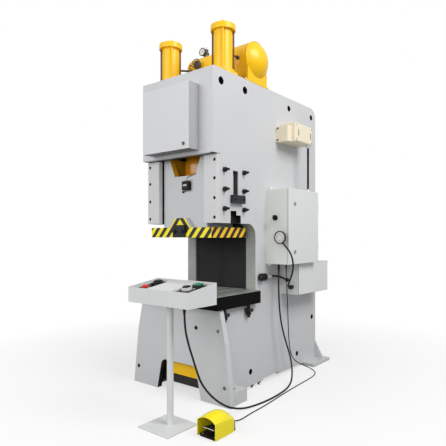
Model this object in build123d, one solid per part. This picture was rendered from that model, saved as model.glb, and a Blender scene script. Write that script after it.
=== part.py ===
from build123d import *
import math
import os

# Mechanical stamping press: a welded gap frame with a front-to-back crankshaft, an electric
# cabinet on its right side, an operator's console on a post and a hooded foot pedal.
# The origin is the middle of the four floor-bolt holes, on the floor.
# +X is the operator's right, +Y the back, +Z up. A depth is measured back from the head's front.

# Driving sizes of the frame, in millimetres
FRAME_HEIGHT = 2700.0
HALF_WIDTH = 411.0
SIDE_THICK = 40.0
FRAME_DEPTH = 1718.0
CORNER_RADIUS = 100.0
BOLT_SPACING_X = 960.0
BOLT_SPACING_Y = 1460.0
FRONT_BOLT_DEPTH = 177.0
DIE_DEPTH = 285.0
THROAT_DEPTH = 590.0
THROAT_TOP = 1449.0
THROAT_RADIUS = 110.0
HEAD_UNDERSIDE = 2010.0
GIB_STEP_DEPTH = 97.0

# Driving sizes of the die space and the drive
STROKE = 160.0
BOLSTER_TOP = 865.0
BOLSTER_THICK = 110.0
BOLSTER_HALF = 470.0
RAM_BOTTOM = 1330.0
RAM_TOP = 2030.0
RAM_HALF = 255.0
CRANK_Z = 2305.0
GEAR_MODULE = 8.0
GEAR_TEETH = 80
PINION_TEETH = 18
SHANK_RADIUS = 25.0
DIE_HOLE_RADIUS = 75.0
FLYWHEEL_RADIUS = 330.0
MOTOR_Z = 1380.0
RUNNING_GAP = 0.05

# Driving sizes of the fitted equipment
BALANCER_X = 313.0
BALANCER_DEPTH = 252.0
BALANCER_TOP = 3120.0
TANK_RADIUS = 165.0
TANK_Z = 2915.0
TANK_DEPTH = 625.0
CABINET = (411.0, 655.0, 758.0, 1312.0, 1088.0, 1768.0)
TERMINAL_BOX = (411.0, 600.0, 1030.0, 1626.0, 787.0, 1086.0)
CONSOLE_X = 433.0
CONSOLE_DEPTH = -476.0
TRAY_BOTTOM = 870.0
PEDAL_X = 752.0
PEDAL_MOUTH = -468.0

# Free cables
CONSOLE_CABLE_RADIUS = 7.5
PEDAL_CABLE_RADIUS = 4.5

FRONT_Y = -(FRONT_BOLT_DEPTH + BOLT_SPACING_Y / 2.0)
CRANK_THROW = STROKE / 2.0
INNER_HALF = HALF_WIDTH - SIDE_THICK
BED_TOP = BOLSTER_TOP - BOLSTER_THICK
GEAR_PITCH_RADIUS = GEAR_MODULE * GEAR_TEETH / 2.0
PINION_PITCH_RADIUS = GEAR_MODULE * PINION_TEETH / 2.0
PINION_Z = CRANK_Z - GEAR_PITCH_RADIUS - PINION_PITCH_RADIUS
GEAR_DEPTHS = (640.0, 750.0)
PIN_DEPTHS = (205.0, 365.0)
FLYWHEEL_DEPTHS = (1130.0, 1290.0)

nodes = {}


def y_at(depth):
    return FRONT_Y + depth


def block(x0, x1, d0, d1, z0, z1):
    centre = Pos((x0 + x1) / 2.0, y_at((d0 + d1) / 2.0), (z0 + z1) / 2.0)
    return centre * Box(abs(x1 - x0), abs(d1 - d0), abs(z1 - z0))


def upright(x, depth, z0, z1, radius):
    return Pos(x, y_at(depth), (z0 + z1) / 2.0) * Cylinder(radius, z1 - z0)


def along_depth(x, z, d0, d1, radius):
    return Pos(x, y_at((d0 + d1) / 2.0), z) * Rot(90, 0, 0) * Cylinder(radius, d1 - d0)


def along_width(depth, z, x0, x1, radius):
    return Pos((x0 + x1) / 2.0, y_at(depth), z) * Rot(0, 90, 0) * Cylinder(radius, x1 - x0)


def outline(points, fillets=()):
    face = make_face(Polyline(*points, close=True))
    for corner, radius in fillets:
        nearest = min(face.vertices(), key=lambda v: math.hypot(v.X - corner[0], v.Y - corner[1]))
        face = fillet(nearest, radius)
    return face


def side_plate(points, x0, x1, fillets=()):
    """A plate whose outline is drawn as (depth, height) and whose thickness runs across."""
    moved = [(y_at(d), z) for d, z in points]
    corners = [((y_at(d), z), radius) for (d, z), radius in fillets]
    return extrude(Plane.YZ.offset(x0) * outline(moved, corners), x1 - x0)


def front_plate(points, d0, d1, fillets=()):
    """A plate whose outline is drawn as (across, height) and whose thickness runs back."""
    return extrude(Plane.XZ.offset(-y_at(d1)) * outline(points, fillets), d1 - d0)


def flat_plate(points, z0, z1, fillets=()):
    """A plate whose outline is drawn as (across, depth) and which lies flat."""
    moved = [(x, y_at(d)) for x, d in points]
    corners = [((x, y_at(d)), radius) for (x, d), radius in fillets]
    return extrude(Plane.XY.offset(z0) * outline(moved, corners), z1 - z0)


def hexagon(plane, across_flats, length):
    return extrude(plane * RegularPolygon(across_flats / math.sqrt(3.0), 6), length)


def mirrored(shape):
    return mirror(shape, about=Plane.YZ)


def both_sides(shape):
    return [shape, mirrored(shape)]


def merge(shapes):
    whole = shapes[0]
    for shape in shapes[1:]:
        whole = whole + shape
    return whole


def put(name, *shapes):
    solids = []
    for shape in shapes:
        solids.extend(shape.solids())
    nodes[name] = solids


# Side frames: C-shaped plates, each built up from a base, a column and a head plate, with a
# wide throat liner, lifting holes, a stop-rod pocket and a stepped notch above the throat.
FOOT_TOP = 105.0
SOLE_THICK = 30.0
LIFT_HOLES = ((105.0, 32.5), (432.0, 32.5), (1165.0, 28.0), (1623.0, 28.0))
LIFT_Z = 2600.0
LOW_HOLES = ((515.0, 152.0), (1324.0, 151.0), (1639.0, 481.0))
LOW_HOLE_RADIUS = 25.0
GIB_BOLT_DEPTHS = (143.0, 410.0)
GIB_BOLT_HEIGHTS = (1885.0, 1726.0, 1567.0)
LINER_INNER = 308.0
LINER_THICK = 22.0
BOLSTER_BOLT_DEPTHS = (120.0, 450.0)
BOLSTER_BOLT_X = 437.0


def throat_void(front, grow, x0, x1):
    rear = THROAT_DEPTH + grow
    top = THROAT_TOP + grow
    points = [(front, BED_TOP), (rear, BED_TOP), (rear, top), (front, top)]
    return side_plate(points, x0, x1, [((rear, top), THROAT_RADIUS + grow)])


def right_side_frame():
    points = [
        (83.0, FOOT_TOP), (83.0, BED_TOP), (THROAT_DEPTH, BED_TOP), (THROAT_DEPTH, THROAT_TOP),
        (GIB_STEP_DEPTH, THROAT_TOP), (GIB_STEP_DEPTH, HEAD_UNDERSIDE), (0.0, HEAD_UNDERSIDE),
        (0.0, FRAME_HEIGHT), (FRAME_DEPTH, FRAME_HEIGHT), (FRAME_DEPTH, SOLE_THICK),
        (961.0, SOLE_THICK), (961.0, 48.0), (712.0, 48.0), (712.0, SOLE_THICK),
        (271.0, SOLE_THICK), (271.0, FOOT_TOP),
    ]
    fillets = [
        ((THROAT_DEPTH, THROAT_TOP), THROAT_RADIUS),
        ((FRAME_DEPTH, FRAME_HEIGHT), CORNER_RADIUS),
        ((0.0, FRAME_HEIGHT), 12.0),
    ]
    plate = side_plate(points, INNER_HALF, HALF_WIDTH, fillets)
    for depth in BOLSTER_BOLT_DEPTHS:
        plate += block(HALF_WIDTH, 465.0, depth - 32.0, depth + 32.0, 692.0, 716.0)
        plate -= upright(BOLSTER_BOLT_X, depth, 680.0, 730.0, 15.0)
    for depth, radius in LIFT_HOLES:
        plate -= along_width(depth, LIFT_Z, 300.0, 500.0, radius)
    for depth, z in LOW_HOLES:
        plate -= along_width(depth, z, 300.0, 500.0, LOW_HOLE_RADIUS)
    for depth in GIB_BOLT_DEPTHS:
        for z in GIB_BOLT_HEIGHTS:
            plate -= along_width(depth, z, 300.0, 500.0, 16.0)
    plate -= block(381.0, 420.0, 262.0, 334.0, 1684.0, 1890.0)
    plate -= block(300.0, 420.0, 230.0, 310.0, THROAT_TOP - 1.0, 1553.0)
    plate -= block(300.0, 420.0, 309.0, 370.0, THROAT_TOP - 1.0, 1517.0)
    base = plate & block(300.0, 500.0, -10.0, 1730.0, -10.0, BED_TOP)
    column = plate & block(300.0, 500.0, THROAT_DEPTH, 1730.0, BED_TOP, 2710.0)
    head = plate & block(300.0, 500.0, -10.0, THROAT_DEPTH, BED_TOP, 2710.0)
    return [base, column, head]


def right_liner():
    """A strip welded along the throat's rear edge, and the bend over the throat's corner."""
    liner = throat_void(462.0, LINER_THICK, LINER_INNER, INNER_HALF)
    liner -= throat_void(300.0, 0.0, LINER_INNER - 1.0, INNER_HALF + 1.0)
    bend_start = THROAT_TOP - THROAT_RADIUS
    strip = liner & block(300.0, 380.0, 400.0, 700.0, BED_TOP, bend_start)
    bend = liner & block(300.0, 380.0, 400.0, 700.0, bend_start, 1500.0)
    return [strip, bend]


def side_frames():
    right = right_side_frame() + right_liner()
    put("side_frame_right", *right)
    put("side_frame_left", *[mirrored(shape) for shape in right])


# Head shell: front, top and rear plates welded as one bent cover between the side frames.
PLATE_THICK = 40.0
FRONT_BORE_RADIUS = 170.0


def head_shell():
    outer = [
        (0.0, HEAD_UNDERSIDE), (0.0, FRAME_HEIGHT), (FRAME_DEPTH, FRAME_HEIGHT),
        (FRAME_DEPTH, 1290.0), (FRAME_DEPTH - PLATE_THICK, 1290.0),
        (FRAME_DEPTH - PLATE_THICK, FRAME_HEIGHT - PLATE_THICK),
        (PLATE_THICK, FRAME_HEIGHT - PLATE_THICK), (PLATE_THICK, HEAD_UNDERSIDE + 25.0),
        (GIB_STEP_DEPTH, HEAD_UNDERSIDE + 25.0), (GIB_STEP_DEPTH, HEAD_UNDERSIDE),
    ]
    inner_corner = (FRAME_DEPTH - PLATE_THICK, FRAME_HEIGHT - PLATE_THICK)
    fillets = [
        ((FRAME_DEPTH, FRAME_HEIGHT), CORNER_RADIUS),
        (inner_corner, CORNER_RADIUS - PLATE_THICK),
        ((0.0, FRAME_HEIGHT), 12.0),
    ]
    shell = side_plate(outer, -INNER_HALF, INNER_HALF, fillets)
    shell -= along_depth(0.0, CRANK_Z, -10.0, 60.0, FRONT_BORE_RADIUS)
    shell -= block(-300.0, 300.0, 1660.0, 1730.0, 1400.0, 2400.0)
    for side in (-1.0, 1.0):
        shell -= upright(side * BALANCER_X, BALANCER_DEPTH, 2640.0, 2710.0, 24.0)
    put("head_shell", shell)


# Inner walls: two cross walls that hold the shaft bearings, and the motor shelf.
FRONT_WALL = (500.0, 540.0)
REAR_WALL = (880.0, 920.0)
CRANK_FRONT_BUSH = 130.0
CRANK_REAR_BUSH = 92.0
PINION_BUSH = 74.0
WALL_TOP = FRAME_HEIGHT - PLATE_THICK


def inner_walls():
    front = block(-INNER_HALF, INNER_HALF, *FRONT_WALL, THROAT_TOP + 26.0, WALL_TOP)
    front -= along_depth(0.0, CRANK_Z, 480.0, 560.0, CRANK_FRONT_BUSH)
    front -= along_depth(0.0, PINION_Z, 480.0, 560.0, PINION_BUSH)
    rear = block(-INNER_HALF, INNER_HALF, *REAR_WALL, 1560.0, WALL_TOP)
    rear -= along_depth(0.0, CRANK_Z, 860.0, 940.0, CRANK_REAR_BUSH)
    rear -= along_depth(0.0, PINION_Z, 860.0, 940.0, PINION_BUSH)
    shelf = block(-INNER_HALF, INNER_HALF, 720.0, 1110.0, 1190.0, 1215.0)
    put("inner_walls", front, rear, shelf)


# Throat cover: a dark bent sheet in two halves that closes the frame behind the throat.
def throat_cover():
    halves = []
    for x0, x1 in ((-INNER_HALF, -1.5), (1.5, INNER_HALF)):
        sheet = throat_void(470.0, LINER_THICK + 4.0, x0, x1)
        sheet -= throat_void(460.0, LINER_THICK, x0 - 1.0, x1 + 1.0)
        halves.append(sheet)
    put("throat_cover", *halves)


# Bed: the plate under the bolster with its drop hole, and the cross plate behind the arch.
def bed_plate():
    bed = block(-INNER_HALF, INNER_HALF, 83.0, 616.0, BED_TOP - 60.0, BED_TOP)
    bed -= upright(0.0, DIE_DEPTH, 600.0, 800.0, 150.0)
    cross = block(-INNER_HALF, INNER_HALF, 125.0, 145.0, 52.0, BED_TOP - 60.0)
    cross -= block(-190.0, 190.0, 110.0, 160.0, 232.0, 520.0)
    put("bed_plate", bed + cross)


# Base front plate: a tapered plate with an arch, wider at the floor than the frame.
def base_front_plate():
    half = [(257.0, 0.0), (568.0, 0.0), (512.0, 490.0), (452.0, BED_TOP)]
    arch = [(-200.0, 266.0), (200.0, 266.0)]
    mirrored_half = [(-x, z) for x, z in reversed(half)]
    points = half + mirrored_half + arch
    plate = front_plate(points, 32.0, 83.0, [(arch[0], 55.0), (arch[1], 55.0)])
    for x, z, radius in ((205.0, 588.0, 13.0), (438.0, 588.0, 10.0), (505.0, 151.0, 11.0), (-505.0, 151.0, 11.0)):
        plate -= along_depth(x, z, 20.0, 95.0, radius)
    put("base_front_plate", plate)


# Feet: solid blocks under the front corners, and flat soles with a gusset at the rear.
BOLT_HALF = BOLT_SPACING_X / 2.0
BOLT_HOLE_RADIUS = 18.0


def floor_feet():
    front = block(HALF_WIDTH, 550.0, 83.0, 271.0, 0.0, FOOT_TOP)
    front += block(330.0, HALF_WIDTH, 83.0, 271.0, 0.0, SOLE_THICK)
    front += block(INNER_HALF, HALF_WIDTH, 83.0, 271.0, SOLE_THICK, FOOT_TOP)
    front -= upright(BOLT_HALF, FRONT_BOLT_DEPTH, -5.0, FOOT_TOP + 5.0, BOLT_HOLE_RADIUS)
    sole = block(330.0, 530.0, 1460.0, 1819.0, 0.0, SOLE_THICK)
    gusset = front_plate([(HALF_WIDTH, SOLE_THICK), (516.0, SOLE_THICK), (HALF_WIDTH, 222.0)], 1696.0, FRAME_DEPTH)
    rear = sole + gusset
    rear_depth = FRONT_BOLT_DEPTH + BOLT_SPACING_Y
    rear -= upright(BOLT_HALF, rear_depth, -5.0, SOLE_THICK + 5.0, BOLT_HOLE_RADIUS)
    put("floor_feet", *both_sides(front), *both_sides(rear))


# Rear cover: two folded sheets with louvres over the flywheel and the motor.
COVER_HALF = 392.0


def louvred_sheet(z0, z1):
    tray = block(-COVER_HALF, COVER_HALF, FRAME_DEPTH, FRAME_DEPTH + 14.0, z0, z1)
    tray -= block(-COVER_HALF + 3.0, COVER_HALF - 3.0, FRAME_DEPTH - 1.0, FRAME_DEPTH + 11.0, z0 + 3.0, z1 - 3.0)
    middle = (z0 + z1) / 2.0
    for x in (-190.0, 190.0):
        for step in range(-3, 4):
            z = middle + step * 60.0
            tray -= block(x - 120.0, x + 120.0, FRAME_DEPTH + 5.0, FRAME_DEPTH + 20.0, z, z + 14.0)
            wedge = [(FRAME_DEPTH + 11.0, z + 14.0), (FRAME_DEPTH + 14.0, z + 34.0), (FRAME_DEPTH + 26.0, z + 12.0),
                     (FRAME_DEPTH + 23.0, z + 12.0), (FRAME_DEPTH + 14.0, z + 28.0)]
            tray += side_plate(wedge, x - 120.0, x + 120.0)
    return tray


def rear_cover():
    put("rear_cover", louvred_sheet(1310.0, 2440.0), louvred_sheet(70.0, 1290.0))


# Scrap chute: a folded sheet that leads from the drop hole to the arch, with a deep lip.
def scrap_chute():
    profile = [
        (96.0, 140.0), (96.0, 236.0), (100.0, 240.0), (170.0, 262.0), (420.0, 560.0),
        (424.0, 556.0), (174.0, 257.0), (102.0, 234.0), (102.0, 146.0), (120.0, 146.0), (120.0, 140.0),
    ]
    put("scrap_chute", side_plate(profile, -178.0, 178.0))


# Bolster: the thick die plate, with T-slots from front to back and a drop hole.
SLOT_X = (-330.0, -165.0, 165.0, 330.0)
BOLSTER_HALF_DEPTH = 300.0


def bolster():
    d0 = DIE_DEPTH - BOLSTER_HALF_DEPTH
    d1 = DIE_DEPTH + BOLSTER_HALF_DEPTH
    plate = block(-BOLSTER_HALF, BOLSTER_HALF, d0, d1, BED_TOP, BOLSTER_TOP)
    plate = chamfer(plate.edges().group_by(Axis.Z)[-1], 4.0)
    for x in SLOT_X:
        plate -= block(x - 11.0, x + 11.0, d0 - 5.0, d1 + 5.0, BOLSTER_TOP - 24.0, BOLSTER_TOP + 5.0)
        plate -= block(x - 19.0, x + 19.0, d0 - 5.0, d1 + 5.0, BOLSTER_TOP - 40.0, BOLSTER_TOP - 24.0)
    plate -= upright(0.0, DIE_DEPTH, BED_TOP - 5.0, BOLSTER_TOP + 5.0, DIE_HOLE_RADIUS)
    put("bolster", plate)


def bed_bolts():
    bolts = []
    for side in (-1.0, 1.0):
        for depth in BOLSTER_BOLT_DEPTHS:
            x = side * BOLSTER_BOLT_X
            bolt = upright(x, depth, 642.0, BED_TOP, 13.0)
            nut_plane = Plane((x, y_at(depth), 664.0))
            bolts.append(bolt + hexagon(nut_plane, 42.0, 28.0))
    return bolts


# Gibs: slotted guides for the ram's side ears, their front plates and their bolts.
EAR_HALF = 60.0
GIB_PLATE_FRONT = 57.0
GIB_INNER = 263.0
SCREW_X = 380.0
SCREW_HEIGHTS = (1495.0, 1651.0, 1811.0, 1960.0)


def gib_guides():
    guide = block(GIB_INNER, INNER_HALF, GIB_STEP_DEPTH, 460.0, THROAT_TOP + 1.0, HEAD_UNDERSIDE - 5.0)
    d0 = DIE_DEPTH - EAR_HALF - 1.0
    d1 = DIE_DEPTH + EAR_HALF + 1.0
    guide -= block(GIB_INNER - 5.0, 303.0, d0, d1, 1400.0, 2100.0)
    put("gib_guides", *both_sides(guide))


def gib_plates():
    plate = block(GIB_INNER, HALF_WIDTH, GIB_PLATE_FRONT, GIB_STEP_DEPTH, THROAT_TOP + 1.0, HEAD_UNDERSIDE - 5.0)
    plate = chamfer(plate.edges().filter_by(Axis.Z).group_by(Axis.Y)[0], 4.0)
    for z in SCREW_HEIGHTS:
        plate -= along_depth(SCREW_X, z, 50.0, 84.0, 14.0)
    put("gib_plates", *both_sides(plate))


def frame_bolts():
    pieces = bed_bolts()
    for z in SCREW_HEIGHTS:
        head = along_depth(SCREW_X, z, 60.0, 84.0, 12.5)
        socket_plane = Plane((SCREW_X, y_at(60.0), z), x_dir=(1, 0, 0), z_dir=(0, 1, 0))
        head -= hexagon(socket_plane, 12.0, 12.0)
        pieces.extend(both_sides(head))
    for depth in GIB_BOLT_DEPTHS:
        for z in GIB_BOLT_HEIGHTS:
            stud = along_width(depth, z, INNER_HALF, 452.0, 12.0)
            nut_plane = Plane((HALF_WIDTH, y_at(depth), z), x_dir=(0, 1, 0), z_dir=(1, 0, 0))
            stud += hexagon(nut_plane, 38.0, 20.0)
            tip = Plane((452.0, y_at(depth), z), x_dir=(0, 1, 0), z_dir=(1, 0, 0))
            stud += extrude(tip * Rectangle(15.0, 15.0), 14.0)
            pieces.extend(both_sides(stud))
    put("frame_bolts", *pieces)


# Stroke stops: a clamped block on each side and the rod that stands in the pocket above it.
def stroke_stops():
    body = block(HALF_WIDTH, 452.0, 226.0, 389.0, 1616.0, 1684.0)
    body = chamfer(body.edges().group_by(Axis.X)[-1], 3.0)
    rod = upright(397.0, 318.0, 1684.0, 1888.0, 12.0)
    neck = block(385.0, HALF_WIDTH, 306.0, 330.0, 1684.0, 1692.0)
    put("stroke_stops", *both_sides(body + neck + rod))


# Ram: the guided slide with its ears, its tool flange with a hump, and the rod's cavity.
FLANGE_HALF = 354.0
FLANGE_HALF_DEPTH = 232.5
FLANGE_TOP = 1415.0
RAM_HALF_DEPTH = 172.0
HUMP_TOP = 1496.0
SHANK_LENGTH = 75.0
CAVITY_HALF = 190.0
CAVITY_FLOOR = 1665.0
CLAMP_HALF = 70.0
CLAMP_TOP = 1437.0
BALANCE_Z = (2185.0, 2220.0)


def ram():
    front = DIE_DEPTH - RAM_HALF_DEPTH
    rear = DIE_DEPTH + RAM_HALF_DEPTH
    flange_front = DIE_DEPTH - FLANGE_HALF_DEPTH
    flange_rear = DIE_DEPTH + FLANGE_HALF_DEPTH
    body = block(-RAM_HALF, RAM_HALF, front, rear, FLANGE_TOP, RAM_TOP)
    body += block(-FLANGE_HALF, FLANGE_HALF, flange_front, flange_rear, RAM_BOTTOM, FLANGE_TOP)
    body += block(-300.0, 300.0, DIE_DEPTH - EAR_HALF, DIE_DEPTH + EAR_HALF, 1500.0, 2000.0)
    hump = [(-120.0, FLANGE_TOP), (120.0, FLANGE_TOP), (56.0, HUMP_TOP), (-56.0, HUMP_TOP)]
    body += front_plate(hump, flange_front, front)
    body -= block(-CAVITY_HALF, CAVITY_HALF, front + 60.0, rear - 60.0, CAVITY_FLOOR, RAM_TOP + 5.0)
    window = [(-188.0, RAM_TOP + 5.0), (-188.0, RAM_TOP), (-122.0, 1862.0), (122.0, 1862.0), (188.0, RAM_TOP),
              (188.0, RAM_TOP + 5.0)]
    body -= front_plate(window, front - 5.0, front + 65.0)
    body -= block(-18.0, 96.0, front - 5.0, front + 14.0, 1722.0, 1822.0)
    body -= block(-CLAMP_HALF, CLAMP_HALF, flange_front - 5.0, DIE_DEPTH, RAM_BOTTOM - 5.0, CLAMP_TOP)
    body -= upright(0.0, DIE_DEPTH, RAM_BOTTOM - 5.0, RAM_BOTTOM + SHANK_LENGTH, SHANK_RADIUS)
    for x in (-270.0, 270.0):
        for depth in (DIE_DEPTH - 160.0, DIE_DEPTH + 160.0):
            body -= upright(x, depth, RAM_BOTTOM - 5.0, RAM_BOTTOM + 40.0, 11.0)
    put("ram", body)


def shank_clamp():
    flange_front = DIE_DEPTH - FLANGE_HALF_DEPTH
    clamp = block(-CLAMP_HALF + 0.5, CLAMP_HALF - 0.5, flange_front - 22.0, DIE_DEPTH - 0.5, RAM_BOTTOM + 1.0, CLAMP_TOP - 1.0)
    clamp = chamfer(clamp.edges().group_by(Axis.Y)[0], 4.0)
    clamp -= upright(0.0, DIE_DEPTH, RAM_BOTTOM - 5.0, RAM_BOTTOM + SHANK_LENGTH, SHANK_RADIUS)
    heads = []
    for x in (-42.0, 42.0):
        plane = Plane((x, y_at(flange_front - 22.0), 1384.0), x_dir=(1, 0, 0), z_dir=(0, -1, 0))
        heads.append(hexagon(plane, 30.0, 18.0))
    put("shank_clamp", merge([clamp] + heads))


# Height indicator: the black counter box that sits in the ram's shallow pocket.
def height_indicator():
    front = DIE_DEPTH - RAM_HALF_DEPTH
    body = block(-14.0, 62.0, front - 26.0, front + 14.0, 1738.0, 1812.0)
    body = fillet(body.edges().group_by(Axis.Y)[0], 5.0)
    window = block(2.0, 46.0, front - 30.0, front - 24.0, 1768.0, 1790.0)
    stem = upright(24.0, front + 4.0, 1812.0, 1822.0, 4.0)
    put("height_indicator", body - window + stem)


# Balance rods: lugs bolted on the ram's top, and the rods and pistons that they lift.
def balance_rods():
    post = block(206.0, 250.0, 222.0, 282.0, RAM_TOP, BALANCE_Z[1])
    arm = block(206.0, 345.0, 222.0, 282.0, *BALANCE_Z)
    rod = upright(BALANCER_X, BALANCER_DEPTH, BALANCE_Z[1], 3000.0, 20.0)
    piston = upright(BALANCER_X, BALANCER_DEPTH, 3000.0, 3040.0, BARREL_BORE - 0.5)
    nut = hexagon(Plane((BALANCER_X, y_at(BALANCER_DEPTH), BALANCE_Z[0] - 16.0)), 50.0, 16.0)
    put("balance_rods", *both_sides(post + arm + nut + rod + piston))


# Crankshaft: two journals, two webs with counterweights and the crank pin at the top.
JOURNAL_FRONT = 70.0
JOURNAL_REAR = 75.0
GEAR_SEAT = 65.0
PIN_RADIUS = 85.0
PIN_Z = CRANK_Z + CRANK_THROW


def crank_web(d0, d1):
    lower = along_depth(0.0, CRANK_Z, d0, d1, 185.0) & block(-112.0, 112.0, d0, d1, CRANK_Z - 200.0, CRANK_Z + 10.0)
    middle = block(-112.0, 112.0, d0, d1, CRANK_Z, PIN_Z)
    return lower + middle + along_depth(0.0, PIN_Z, d0, d1, 112.0)


def crankshaft():
    shaft = along_depth(0.0, CRANK_Z, -60.0, PIN_DEPTHS[0] - 38.0, JOURNAL_FRONT)
    shaft += crank_web(PIN_DEPTHS[0] - 40.0, PIN_DEPTHS[0])
    shaft += along_depth(0.0, PIN_Z, PIN_DEPTHS[0] - 2.0, PIN_DEPTHS[1] + 2.0, PIN_RADIUS)
    shaft += crank_web(PIN_DEPTHS[1], PIN_DEPTHS[1] + 40.0)
    shaft += along_depth(0.0, CRANK_Z, PIN_DEPTHS[1] + 38.0, 560.0, JOURNAL_REAR)
    shaft += along_depth(0.0, CRANK_Z, 560.0, 935.0, GEAR_SEAT)
    put("crankshaft", shaft)


# Shaft bearings: bushes in the front plate and the two inner walls.
PINION_JOURNAL = 48.0


def ring(x, z, d0, d1, outer, inner):
    return along_depth(x, z, d0, d1, outer) - along_depth(x, z, d0 - 1.0, d1 + 1.0, inner)


def shaft_bearings():
    front = ring(0.0, CRANK_Z, 0.0, 60.0, FRONT_BORE_RADIUS, JOURNAL_FRONT + RUNNING_GAP)
    front += ring(0.0, CRANK_Z, -18.0, 0.0, 196.0, JOURNAL_FRONT + RUNNING_GAP)
    for step in range(8):
        angle = math.radians(22.5 + 45.0 * step)
        x = 183.0 * math.cos(angle)
        z = CRANK_Z + 183.0 * math.sin(angle)
        plane = Plane((x, y_at(-18.0), z), x_dir=(1, 0, 0), z_dir=(0, -1, 0))
        front += hexagon(plane, 19.0, 10.0)
    middle = ring(0.0, CRANK_Z, 492.0, 548.0, CRANK_FRONT_BUSH, JOURNAL_REAR + RUNNING_GAP)
    rear = ring(0.0, CRANK_Z, 872.0, 928.0, CRANK_REAR_BUSH, GEAR_SEAT + RUNNING_GAP)
    pinion_front = ring(0.0, PINION_Z, 492.0, 548.0, PINION_BUSH, PINION_JOURNAL + RUNNING_GAP)
    pinion_rear = ring(0.0, PINION_Z, 872.0, 928.0, PINION_BUSH, PINION_JOURNAL + RUNNING_GAP)
    put("shaft_bearings", front, middle, rear, pinion_front, pinion_rear)


# Gears: involute teeth drawn by formula. A tooth of the main gear points down into a gap
# of the pinion.
PRESSURE_ANGLE = math.radians(20.0)
BACKLASH = 0.9


def involute(angle):
    return math.tan(angle) - angle


def gear_outline(teeth, start_angle, flank_steps):
    pitch = GEAR_MODULE * teeth / 2.0
    base = pitch * math.cos(PRESSURE_ANGLE)
    tip = pitch + GEAR_MODULE
    root = pitch - 1.25 * GEAR_MODULE
    half_tooth = math.pi / (2.0 * teeth) - BACKLASH / (2.0 * pitch)
    lowest = max(base * 1.0005, root)
    radii = [lowest + (tip - lowest) * i / flank_steps for i in range(flank_steps + 1)]
    flank = []
    for radius in radii:
        swing = involute(math.acos(base / radius))
        flank.append((radius, half_tooth + involute(PRESSURE_ANGLE) - swing))
    if base > root:
        flank.insert(0, (root, flank[0][1]))
    points = []
    for tooth in range(teeth):
        centre = start_angle + 2.0 * math.pi * tooth / teeth
        for radius, angle in flank:
            points.append((radius * math.cos(centre - angle), radius * math.sin(centre - angle)))
        for radius, angle in reversed(flank):
            points.append((radius * math.cos(centre + angle), radius * math.sin(centre + angle)))
    return points


def toothed_disc(teeth, z, start_angle, flank_steps):
    points = [(x, z + up) for x, up in gear_outline(teeth, start_angle, flank_steps)]
    return front_plate(points, *GEAR_DEPTHS)


def main_gear():
    gear = toothed_disc(GEAR_TEETH, CRANK_Z, -math.pi / 2.0, 2)
    for d0, d1 in ((GEAR_DEPTHS[0] - 1.0, GEAR_DEPTHS[0] + 22.0), (GEAR_DEPTHS[1] - 22.0, GEAR_DEPTHS[1] + 1.0)):
        gear -= ring(0.0, CRANK_Z, d0, d1, 280.0, 120.0)
    gear -= along_depth(0.0, CRANK_Z, 600.0, 800.0, GEAR_SEAT)
    put("main_gear", gear)


def pinion_shaft():
    gap_up = math.pi / 2.0 + math.pi / PINION_TEETH
    shaft = toothed_disc(PINION_TEETH, PINION_Z, gap_up, 3)
    shaft += along_depth(0.0, PINION_Z, 484.0, 642.0, PINION_JOURNAL)
    shaft += along_depth(0.0, PINION_Z, 748.0, 1345.0, PINION_JOURNAL)
    put("pinion_shaft", shaft)


# Connecting rod: an eye in two halves on the crank pin, a cast shank and the ball screw.
ROD_DEPTHS = (210.0, 360.0)
EYE_RADIUS = 130.0
BALL_RADIUS = 55.0
BALL_Z = 1745.0


def connecting_rod():
    eye = ring(0.0, PIN_Z, *ROD_DEPTHS, EYE_RADIUS, PIN_RADIUS + RUNNING_GAP)
    for x in (-118.0, 118.0):
        eye += block(x - 24.0, x + 24.0, DIE_DEPTH - 50.0, DIE_DEPTH + 50.0, PIN_Z - 56.0, PIN_Z + 52.0)
    eye -= along_depth(0.0, PIN_Z, 200.0, 370.0, PIN_RADIUS + RUNNING_GAP)
    cap = eye - block(-200.0, 200.0, 190.0, 380.0, PIN_Z - 200.0, PIN_Z + 1.0)
    lower_eye = eye - block(-200.0, 200.0, 190.0, 380.0, PIN_Z - 1.0, PIN_Z + 200.0)
    for x in (-126.0, 126.0):
        cap += hexagon(Plane((x, y_at(DIE_DEPTH), PIN_Z + 52.0)), 32.0, 20.0)
    shank = [(-78.0, PIN_Z - 95.0), (78.0, PIN_Z - 95.0), (70.0, 2080.0), (96.0, 1990.0), (96.0, 1900.0),
             (60.0, 1830.0), (-60.0, 1830.0), (-96.0, 1900.0), (-96.0, 1990.0), (-70.0, 2080.0)]
    lower = lower_eye + front_plate(shank, DIE_DEPTH - 62.0, DIE_DEPTH + 62.0)
    lower -= along_depth(0.0, PIN_Z, 200.0, 370.0, PIN_RADIUS + RUNNING_GAP)
    put("connecting_rod", cap, lower)


def adjusting_screw():
    ball = Pos(0.0, y_at(DIE_DEPTH), BALL_Z) * Sphere(BALL_RADIUS)
    put("adjusting_screw", ball + upright(0.0, DIE_DEPTH, BALL_Z + 20.0, 1830.0, 38.0))


# Clutch and brake: driven discs and their housing on the pinion shaft.
def clutch_brake():
    hub = ring(0.0, PINION_Z, 950.0, 1122.0, 86.0, PINION_JOURNAL)
    for d0, d1, radius in ((958.0, 984.0, 190.0), (992.0, 1006.0, 215.0), (1014.0, 1060.0, 230.0),
                           (1068.0, 1082.0, 215.0), (1090.0, 1116.0, 190.0)):
        hub += ring(0.0, PINION_Z, d0, d1, radius, PINION_JOURNAL)
    put("clutch_brake", hub)


# Flywheel: a heavy rim with belt grooves, turning on the pinion shaft's end.
GROOVE_COUNT = 4
GROOVE_PITCH = 22.0
GROOVE_START = FLYWHEEL_DEPTHS[0] + 36.0
GROOVE_DEEP = 14.0


def groove_depths():
    return [GROOVE_START + GROOVE_PITCH * i for i in range(GROOVE_COUNT)]


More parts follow.
